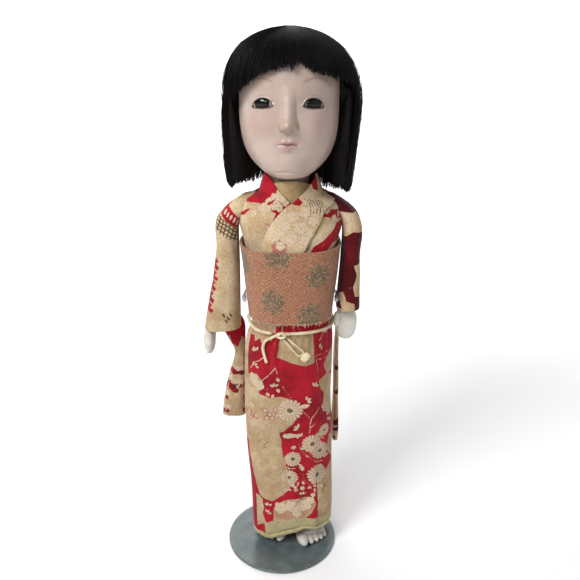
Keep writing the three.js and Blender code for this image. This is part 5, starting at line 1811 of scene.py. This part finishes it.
@dataclass
class Wig:
    """Bobbed hair: a thick cap covered with fine strands."""

    hair: Finish
    seed: int = 90

    @staticmethod
    def low_edge(angle: Array) -> Array:
        """Height of the cut edge of the hair at each turn."""
        x = 47.0 * np.sin(angle)
        bob = BOB - 2.2 * np.sin(angle)
        return np.where(np.abs(angle) < FACE_TURN, FRINGE(x)[0], bob)

    def cap(self) -> None:
        """The solid body of the hair."""
        side = np.linspace(FACE_TURN + 0.002, 2 * math.pi - FACE_TURN - 0.002, 150)
        front = np.linspace(-FACE_TURN + 0.001, FACE_TURN - 0.001, 90)
        angle = np.r_[front, side]
        angle = wrapped(angle)[None, :]
        v = np.linspace(0, 1, 90)[:, None]
        low = self.low_edge(angle) + np.where(np.abs(angle) < FACE_TURN, 1.2, 2.6)
        h = mix(low, CROWN, 1 - (1 - v) ** 1.25)
        angle = angle + 0 * v
        ribs = 0.35 * np.sin(angle * 97) + 0.35 * np.sin(angle * 61 + 2)
        outer = on_hair(angle, h, -1.5 + ribs * (1 - ease(h, 85, 103)))
        half, _, back = HEAD(np.clip(h, 0, 98))
        least = mix(34.0, 25.5, ease(np.abs(angle), 1.27, 1.7))
        x, y = oval(angle, np.maximum(half, least) + 1.5, 45.5, np.maximum(back, 29) + 1.5, HEAD_POWER)
        full = np.stack([x + M.neck_x, y, outer[..., 2]], -1)
        thin = on_hair(angle, h, -3.3 + 0.7 * ease(h, 84, 104))
        thin[..., 2] -= 1.2 * ease(h, 80, 105)
        beside = ease(np.abs(angle), FACE_TURN - 0.001, FACE_TURN + 0.001) * (1 - ease(h, 50, 66))
        inner = mix(thin, full, beside[..., None])
        item = sheet_mesh("hair_cap", outer, inner, True)
        fit(item, self.hair, HEAD_BODY, "wig")

    def strands(self, name: str, turns: Array, steps: int, rng: np.random.Generator) -> None:
        """Fine strands from the crown to the cut edge.

        Args:
            name: Object name.
            turns: Turn of each strand at the edge.
            steps: Points along each strand.
            rng: Seeded random source.
        """
        count = len(turns)
        deep = (rng.random(count) < INNER_SHARE) * rng.uniform(0, INNER_DEPTH, count) * ease(np.abs(turns), 1.2, 1.7)
        deep *= np.abs(turns) > FACE_TURN
        end = self.low_edge(turns) + rng.normal(0, 0.9, count) - np.abs(rng.normal(0, 1.1, count)) - 0.1 * deep
        t = np.linspace(0, 1, steps)[None, :]
        start = rng.uniform(99, 104.95, count)[:, None]
        h = mix(end[:, None], start, 1 - t ** 1.5)
        drift = rng.normal(0, 0.05, count)[:, None] * (1 - t) + rng.normal(0, 0.012, count)[:, None] * np.sin(t * 7)
        tuft = 0.7 * np.sin(turns * 23 + 1) + 0.5 * np.sin(turns * 41)
        layer = -np.abs(rng.normal(0, 0.9, count))[:, None] + 0.35 + (0.3 + tuft[:, None]) * t ** 2 * 0.6
        loose = (rng.random(count) < LOOSE_SHARE)[:, None] * rng.uniform(0.4, 2.6, count)[:, None] * t ** 2.2
        stray = (rng.random(count) < STRAY_SHARE)[:, None] * rng.uniform(0.6, 3.2, count)[:, None]
        loose += stray * bell(t, rng.uniform(0.35, 0.9, count)[:, None], 0.18)
        tuck = -1.4 * (1 - ease(h, BOB, BOB + 16))
        tuck = tuck - deep[:, None] * (1 - ease(h, 8, 40))
        points = on_hair(turns[:, None] + drift * (1 - t), h, layer + loose + tuck)
        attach(thicken(edge_object(name, points), STRAND_RADIUS, self.hair), HEAD_BODY)

    def build(self) -> None:
        """Builds the wig."""
        self.cap()
        rng = np.random.default_rng(self.seed)
        fringe = rng.uniform(-FACE_TURN, FACE_TURN, FRINGE_STRANDS)
        left, right = [
            side.value * mix(FACE_TURN, math.pi, rng.uniform(0, 1, SIDE_STRANDS) ** 1.7) for side in Side
        ]
        for name, turns, steps in (("hair_fringe", fringe, 14), ("hair_left", left, 15), ("hair_right", right, 15)):
            self.strands(name, turns, steps, rng)


def edge_object(name: str, points: Array) -> Item:
    """An object of loose edges, one run of edges for each row of points."""
    count, steps = points.shape[:2]
    first = np.arange(count)[:, None] * steps
    edges = np.stack([first + np.arange(steps - 1), first + np.arange(1, steps)], -1).reshape(-1, 2)
    mesh = bpy.data.meshes.new(name)
    mesh.from_pydata(metres(points).reshape(-1, 3).tolist(), edges.tolist(), [])
    return link_object(name, mesh)


def strand_group() -> bpy.types.GeometryNodeTree:
    """Geometry nodes that turn loose edges into thin strands of one material."""
    group = bpy.data.node_groups.new("strand_tubes", "GeometryNodeTree")
    sockets = (("Geometry", "Geometry"), ("Radius", "Float"), ("Sides", "Int"), ("Finish", "Material"))
    for name, kind in sockets:
        group.interface.new_socket(name, in_out="INPUT", socket_type=f"NodeSocket{kind}")
    group.interface.new_socket("Geometry", in_out="OUTPUT", socket_type="NodeSocketGeometry")
    start, end = group.nodes.new("NodeGroupInput"), group.nodes.new("NodeGroupOutput")
    curve, profile, tube, real, paint = [
        group.nodes.new(f"GeometryNode{kind}")
        for kind in ("MeshToCurve", "CurvePrimitiveCircle", "CurveToMesh", "RealizeInstances", "SetMaterial")
    ]
    tube.inputs["Fill Caps"].default_value = True
    for source, output, target, socket in (
            (start, "Geometry", curve, "Mesh"), (start, "Radius", profile, "Radius"),
            (start, "Sides", profile, "Resolution"), (curve, "Curve", tube, "Curve"),
            (profile, "Curve", tube, "Profile Curve"), (tube, "Mesh", real, "Geometry"),
            (real, "Geometry", paint, "Geometry"), (start, "Finish", paint, "Material"),
            (paint, "Geometry", end, "Geometry"),
    ):
        group.links.new(source.outputs[output], target.inputs[socket])
    return group


def thicken(item: Item, radius: float, material: Finish) -> Item:
    """Runs the strand nodes on an object of loose edges.

    Args:
        item: Object of edges.
        radius: Strand radius in millimetres.
        material: Finish of the strands.

    Returns:
        A plain mesh object that takes the place of item.
    """
    group = bpy.data.node_groups.get("strand_tubes") or strand_group()
    modifier = item.modifiers.new("strands", "NODES")
    modifier.node_group = group
    values = {"Radius": radius * MM, "Sides": 3, "Finish": material}
    for socket in group.interface.items_tree:
        if socket.in_out == "INPUT" and socket.name in values:
            modifier[socket.identifier] = values[socket.name]
    graph = bpy.context.evaluated_depsgraph_get()
    mesh = bpy.data.meshes.new_from_object(item.evaluated_get(graph))
    item.modifiers.clear()
    item.data = mesh
    return item


LEG_X, HEEL = 14.2, 17.6  # sideways place of a leg, and its heel behind it


@dataclass(frozen=True)
class ArmShape:
    """One arm: height of its cuff, place of its elbow, rows of its hand from the cuff, and middle of its thumb."""

    side: Side
    cuff: float
    elbow: float
    rows: tuple[tuple[float, float, float, float, float], ...]
    thumb: tuple[float, float, float]


LEFT_ARM = ArmShape(Side.LEFT, LEFT_SLEEVE.cuff, 49.0, (
    (-28.6, 47.3, -2.2, 0.4, 0.4), (-27.8, 47.3, -2.2, 3.6, 2.2), (-25, 47.3, -2.2, 6.4, 3.6),
    (-19, 47.4, -2.0, 8.4, 4.5), (-10, 47.5, -1.6, 8.9, 4.7), (-3, 47.8, -1.0, 7.2, 4.8), (4, 48.4, -0.2, 5.2, 4.9),
    (20, 48.8, 0, 5.2, 5.5), (30, 49, 0, 4.4, 5.0)), (39.2, -3.2, -10.0))
RIGHT_ARM = ArmShape(Side.RIGHT, RIGHT_SLEEVE.cuff, 55.0, (
    (-26.4, 69.8, -1, 0.4, 0.4), (-25.6, 69.8, -1, 2.4, 4.6), (-23, 69.7, -1, 3.8, 7.0), (-18, 69.5, -1, 4.9, 8.6),
    (-10, 69.2, -1, 5.3, 8.8), (-3, 67.2, -0.8, 4.9, 7.0), (4, 64.4, -0.2, 4.8, 5.0), (25, 59, 0, 5.2, 5.5),
    (46, 55, 0, 4.4, 5.0)), (-68.4, -9.0, -9.5))
TOES = (  # sideways place, distance from the heel, radius and length, from the big toe outward
    (-9.8, 37.5, 4.9, 10), (-2.4, 37.1, 3.2, 8.2), (3, 36.2, 3, 7.6), (8, 34.9, 2.8, 7), (12.4, 32.7, 2.6, 6.2),
)


@dataclass
class Limbs:
    """Painted hands and feet, and the stuffed cloth limbs under the clothes."""

    skin: Finish
    cotton: Finish

    @staticmethod
    def column(name: str, rows: Sequence[Sequence[float]], exponent: float = 2.2, steps: int = 60) -> Item:
        """Rounded body through rows of [height, x, y, half width, half depth]."""
        curve = Profile(rows)
        z = np.linspace(rows[0][0], rows[-1][0], steps)[:, None]
        angle = full_turn(48, z)
        x0, y0, half, deep = curve(z + 0 * angle)
        x, y = oval(angle, np.maximum(half, 0.05), np.maximum(deep, 0.05), np.maximum(deep, 0.05), exponent)
        return loft_mesh(name, np.stack([x + x0, y + y0, z + 0 * x], -1))

    @staticmethod
    def ball(name: str, centre: Sequence[float], size: Sequence[float], turn: float = 0.0) -> Item:
        """Smooth ellipsoid, turned about the upright."""
        v = np.linspace(-math.pi / 2 * 0.98, math.pi / 2 * 0.98, 24)[:, None]
        angle = full_turn(32, v)
        x = size[0] * np.cos(v) * np.sin(angle)
        y = -size[1] * np.cos(v) * np.cos(angle)
        z = size[2] * np.sin(v) + 0 * angle
        rx, ry = x * math.cos(turn) - y * math.sin(turn), x * math.sin(turn) + y * math.cos(turn)
        return loft_mesh(name, np.stack([rx, ry, z], -1) + np.asarray(centre, float))

    def arm(self, shape: ArmShape) -> None:
        """Forearm with a mitten hand, and the stuffed upper arm."""
        side, name, cuff, elbow = shape.side.value, shape.side.word, shape.cuff, shape.elbow
        rows = [[cuff + h, side * x, y, half, deep] for h, x, y, half, deep in shape.rows]
        hand = self.column(f"{name}_hand", rows, 2.3, 110)
        x, y, h = shape.thumb
        thumb = self.ball(f"{name}_thumb", (x, y, cuff + h), (3.0, 2.8, 7.4))
        hand = join_objects(f"{name}_hand", [hand, thumb])
        for vertex in hand.data.vertices:
            x, y, z = np.array(vertex.co) / MM - DOLL_AT
            across = x - 47.4 if side > 0 else y + 1
            groove = sum(bell(across, m, 0.5) for m in (-3.6, 0.4, 4.2)) * (1 - ease(z, cuff - 20, cuff - 13))
            if side > 0:
                vertex.co.y += 0.5 * groove * np.sign(-2 - y) * MM
            else:
                vertex.co.x += 0.5 * groove * np.sign(-69.5 - x) * MM
        fit(hand, self.skin, f"{name}_arm", f"{name}_forearm_hand")
        low = M.shoulder - 50
        upper = [[low + M.gap, side * elbow, 0, 4.2, 5], [low + 4, side * elbow, 0, 5, 6.6],
                 [low + 20, side * (elbow + 49) / 2, 0, 5.3, 7.6], [M.shoulder - 6, side * 49, 0, 5.2, 7.4],
                 [M.shoulder, side * 48, 0, 4.4, 6.6], [M.shoulder + 3.5, side * 47, 0, 2.6, 4.4]]
        item = self.column(f"{name}_stuffed_arm", upper)
        fit(item, self.cotton, f"{name}_arm", f"{name}_upper_arm")

    def leg(self, side: Side, forward: float, turn_out: float) -> None:
        """Lower leg with a five-toed foot, and the stuffed thigh.

        Args:
            side: Which leg.
            forward: Place of the ankle along Y.
            turn_out: Turn of the foot to the outside, in degrees.
        """
        name = side.word
        x0 = side.value * LEG_X
        turn = math.radians(side.value * turn_out)

        def place(x: Array | float, ahead: Array | float, z: Array | float) -> list[Array]:
            """Points of the foot in the doll's frame."""
            y = HEEL - ahead
            return [x0 + x * math.cos(turn) - y * math.sin(turn), forward + x * math.sin(turn) + y * math.cos(turn),
                    M.sole + z]

        sole = Profile([[0, 5, 12], [3.5, 8.5, 17], [11, 9.5, 20], [20, 11, 17], [27, 13.4, 12.5], [35.5, 14.2, 8.6]])
        t = np.linspace(0, 35.5, 50)[:, None]
        angle = full_turn(48, t)
        width, height = sole(t + 0 * angle)
        px = width * signed_power(np.sin(angle), 0.8)
        pz = height / 2 - height / 2 * signed_power(np.cos(angle), 0.7)
        foot = np.stack(place(px, t, pz), -1)
        parts = [loft_mesh(f"{name}_foot", foot[:, ::-1])]
        for x, ahead, w, length in TOES:
            parts.append(self.ball(f"{name}_toe", place(side.value * x, ahead, w * 0.95), (w, length, w * 0.95), turn))
        shin = [[6, 8], [16, 8.3], [30, 9], [55, 11], [80, 11.2], [98, 9.4], [108, 8.4]]
        rows = [[M.sole + z, x0, float((forward + 6) * (1 - ease(np.array(z), 10, 90))), r, r] for z, r in shin]
        parts.append(self.column(f"{name}_shin", rows, 2.0))
        item = join_objects(f"{name}_leg", parts)
        fit(item, self.skin, DOLL, f"{name}_lower_leg")
        thigh = [[0, 9], [0.06, 11.2], [0.3, 13.2], [0.7, 12.4], [0.94, 10.4], [1, 8.6]]
        rows = [[mix(M.hip - M.gap, M.knee + M.gap, t), x0, 0, r, r] for t, r in reversed(thigh)]
        item = self.column(f"{name}_stuffed_thigh", rows, 2.0)
        fit(item, self.cotton, DOLL, f"{name}_thigh")

    def build(self) -> None:
        """Builds arms and legs."""
        for shape in (LEFT_ARM, RIGHT_ARM):
            self.arm(shape)
        for side, forward, turn_out in ((Side.LEFT, -2.5, 18.0), (Side.RIGHT, 4.0, 12.0)):
            self.leg(side, forward, turn_out)


PLATE_ROWS = (  # height and radius of the base plate's rounded rim, then of its flat top
    (0.0, 49.2), (0.25, 49.7), (0.7, 50.0), (1.8, 50.0), (2.25, 49.75), (2.5, 49.2), (2.5, 46), (2.5, 30), (2.5, 10),
)


def build_stand(frame: dict, paint: Finish, steel: Finish, rubber: Finish) -> None:
    """Finishes the stand: a finer base plate, and the CAD post and clip."""
    turn = full_turn(256)
    rings = []
    for z, r in PLATE_ROWS:
        x, y = oval(turn, r, r, r, 2.0)
        rings.append(np.stack([x, y, np.full(turn.shape, z)], -1) - DOLL_AT)
    item = loft_mesh("base_plate", np.array(rings))
    fit(item, paint, "stand", "stand_base")
    finishes = {"post_foot": paint, "post_tube": paint, "post_rod": steel, "waist_clip": steel,
                "clip_tip_left": rubber, "clip_tip_right": rubber}
    for name, material in finishes.items():
        refinish(frame, name, material)


FLOOR_REACH, SWEEP = 6000.0, 600.0  # half width of the floor and radius of its rise, in millimetres
LAMPS = (  # name, place and size in metres, power in watts
    ("key", (-0.68, -0.72, 1.16), 0.5, 15.4), ("fill", (1.1, -0.9, 0.8), 1.2, 1.0),
    ("rim", (-0.5, 1.0, 1.2), 1.0, 4.0), ("catch", (-0.2, -0.8, 0.8), 0.18, 1.4),
)
LIT_POINT = (0, 0, 0.25)
SKY = 0.27
SENSOR, LENS = 36.0, 44.81
CAMERA_AT, CAMERA_TILT = (0.0076, -0.548, 0.479), 67.6


def build_stage() -> None:
    """Camera, soft light and a plain pale floor."""
    scene = bpy.context.scene
    bend = np.linspace(0, math.pi / 2, 24)
    level = [[-FLOOR_REACH, 0.0], [-100.0, 0.0], [250.0, 0.0], [600.0, 0.0]]
    sweep = np.stack([900 + SWEEP * np.sin(bend), SWEEP - SWEEP * np.cos(bend)], -1)
    profile = np.r_[level, sweep, [[900.0 + SWEEP, 3000.0]]]
    across = np.linspace(-FLOOR_REACH, FLOOR_REACH, 3)
    grid = np.array([[(x, y, z) for x in across] for y, z in profile]) - DOLL_AT
    floor = make_object("pale_sweep", grid.reshape(-1, 3), grid_faces(len(profile), len(across), False))
    put_values(floor, "glow", np.repeat(ease(profile[:, 0], -100, 1300), len(across)))
    s = Shader("pale_sweep")
    s.set(Base_Color=(0.9, 0.9, 0.905, 1), Roughness=0.8, Specular_IOR_Level=0.1, Emission_Color=(1, 1, 1, 1))
    s.set(Emission_Strength=s.times(s.attribute("glow"), 0.75))
    floor.data.materials.append(s.material)
    world = bpy.data.worlds.new("studio")
    scene.world = world
    world.use_nodes = True
    sky = world.node_tree.nodes["Background"]
    sky.inputs["Color"].default_value = (1.0, 1.0, 1.0, 1)
    sky.inputs["Strength"].default_value = SKY
    for name, place, size, power in LAMPS:
        data = bpy.data.lights.new(name, "AREA")
        data.energy = power
        data.size = size
        lamp = link_object(name, data)
        lamp.location = place
        lamp.rotation_euler = (Vector(LIT_POINT) - Vector(place)).to_track_quat("-Z", "Y").to_euler()
    camera = bpy.data.cameras.new("camera")
    camera.sensor_width, camera.lens = SENSOR, LENS
    view = link_object("camera", camera)
    view.location = CAMERA_AT
    view.rotation_euler = (math.radians(CAMERA_TILT), 0, 0)
    scene.camera = view
    scene.view_settings.view_transform = "Standard"


def dress(frame: dict) -> None:
    """Builds every piece that isn't left as CAD.

    Args:
        frame: The loaded frame.
    """
    printed = PrintedCloth().material("printed_crepe")
    cotton = PlainCloth("b7ab97", "9c8f7b").material("cotton")
    hem_silk = PlainCloth("b8ab80", "a09468").material("hem_silk")
    Kimono(printed, hem_silk, PlainCloth("c8ae80", "ad9366").material("tan_silk")).build()
    # The doll's left sleeve takes a darker copy of the crepe: painted shade, as that sleeve lies on the side away from
    # the key lamp.
    Sleeve(LEFT_SLEEVE, PrintedCloth("640d16", "4e0810").material("shaded_crepe")).build()
    Sleeve(RIGHT_SLEEVE, printed).build()
    ivory = PlainCloth("ead9b6", "d6c095", 0.4).material("ivory_cord")
    Sash(Brocade().material("brocade"), ivory).build()
    Cords(ivory).build()
    Head(Gofun("b9a59a", "ad978b").material("face_gofun", True), Glass().material("glass_eye")).build()
    Wig(Hair().material("black_hair")).build()
    Limbs(Gofun("dfdbd1", "c2bdb2").material("white_gofun"), cotton).build()
    for name in ("chest_block", "hip_block", "waist_cloth"):
        refinish(frame, name, cotton)
    paint = Metal("4d5a5c", 0.32).material("grey_paint")
    build_stand(frame, paint, Metal("a3a6a7", 0.28, True).material("steel"), Metal("b3b6b7", 0.4).material("soft_tip"))


def main() -> None:
    """Loads the frame, dresses it and sets the stage."""
    logging.basicConfig(level=logging.INFO)
    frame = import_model()
    dress(frame)
    build_stage()
    bpy.context.view_layer.update()


if __name__ == "__main__":
    main()
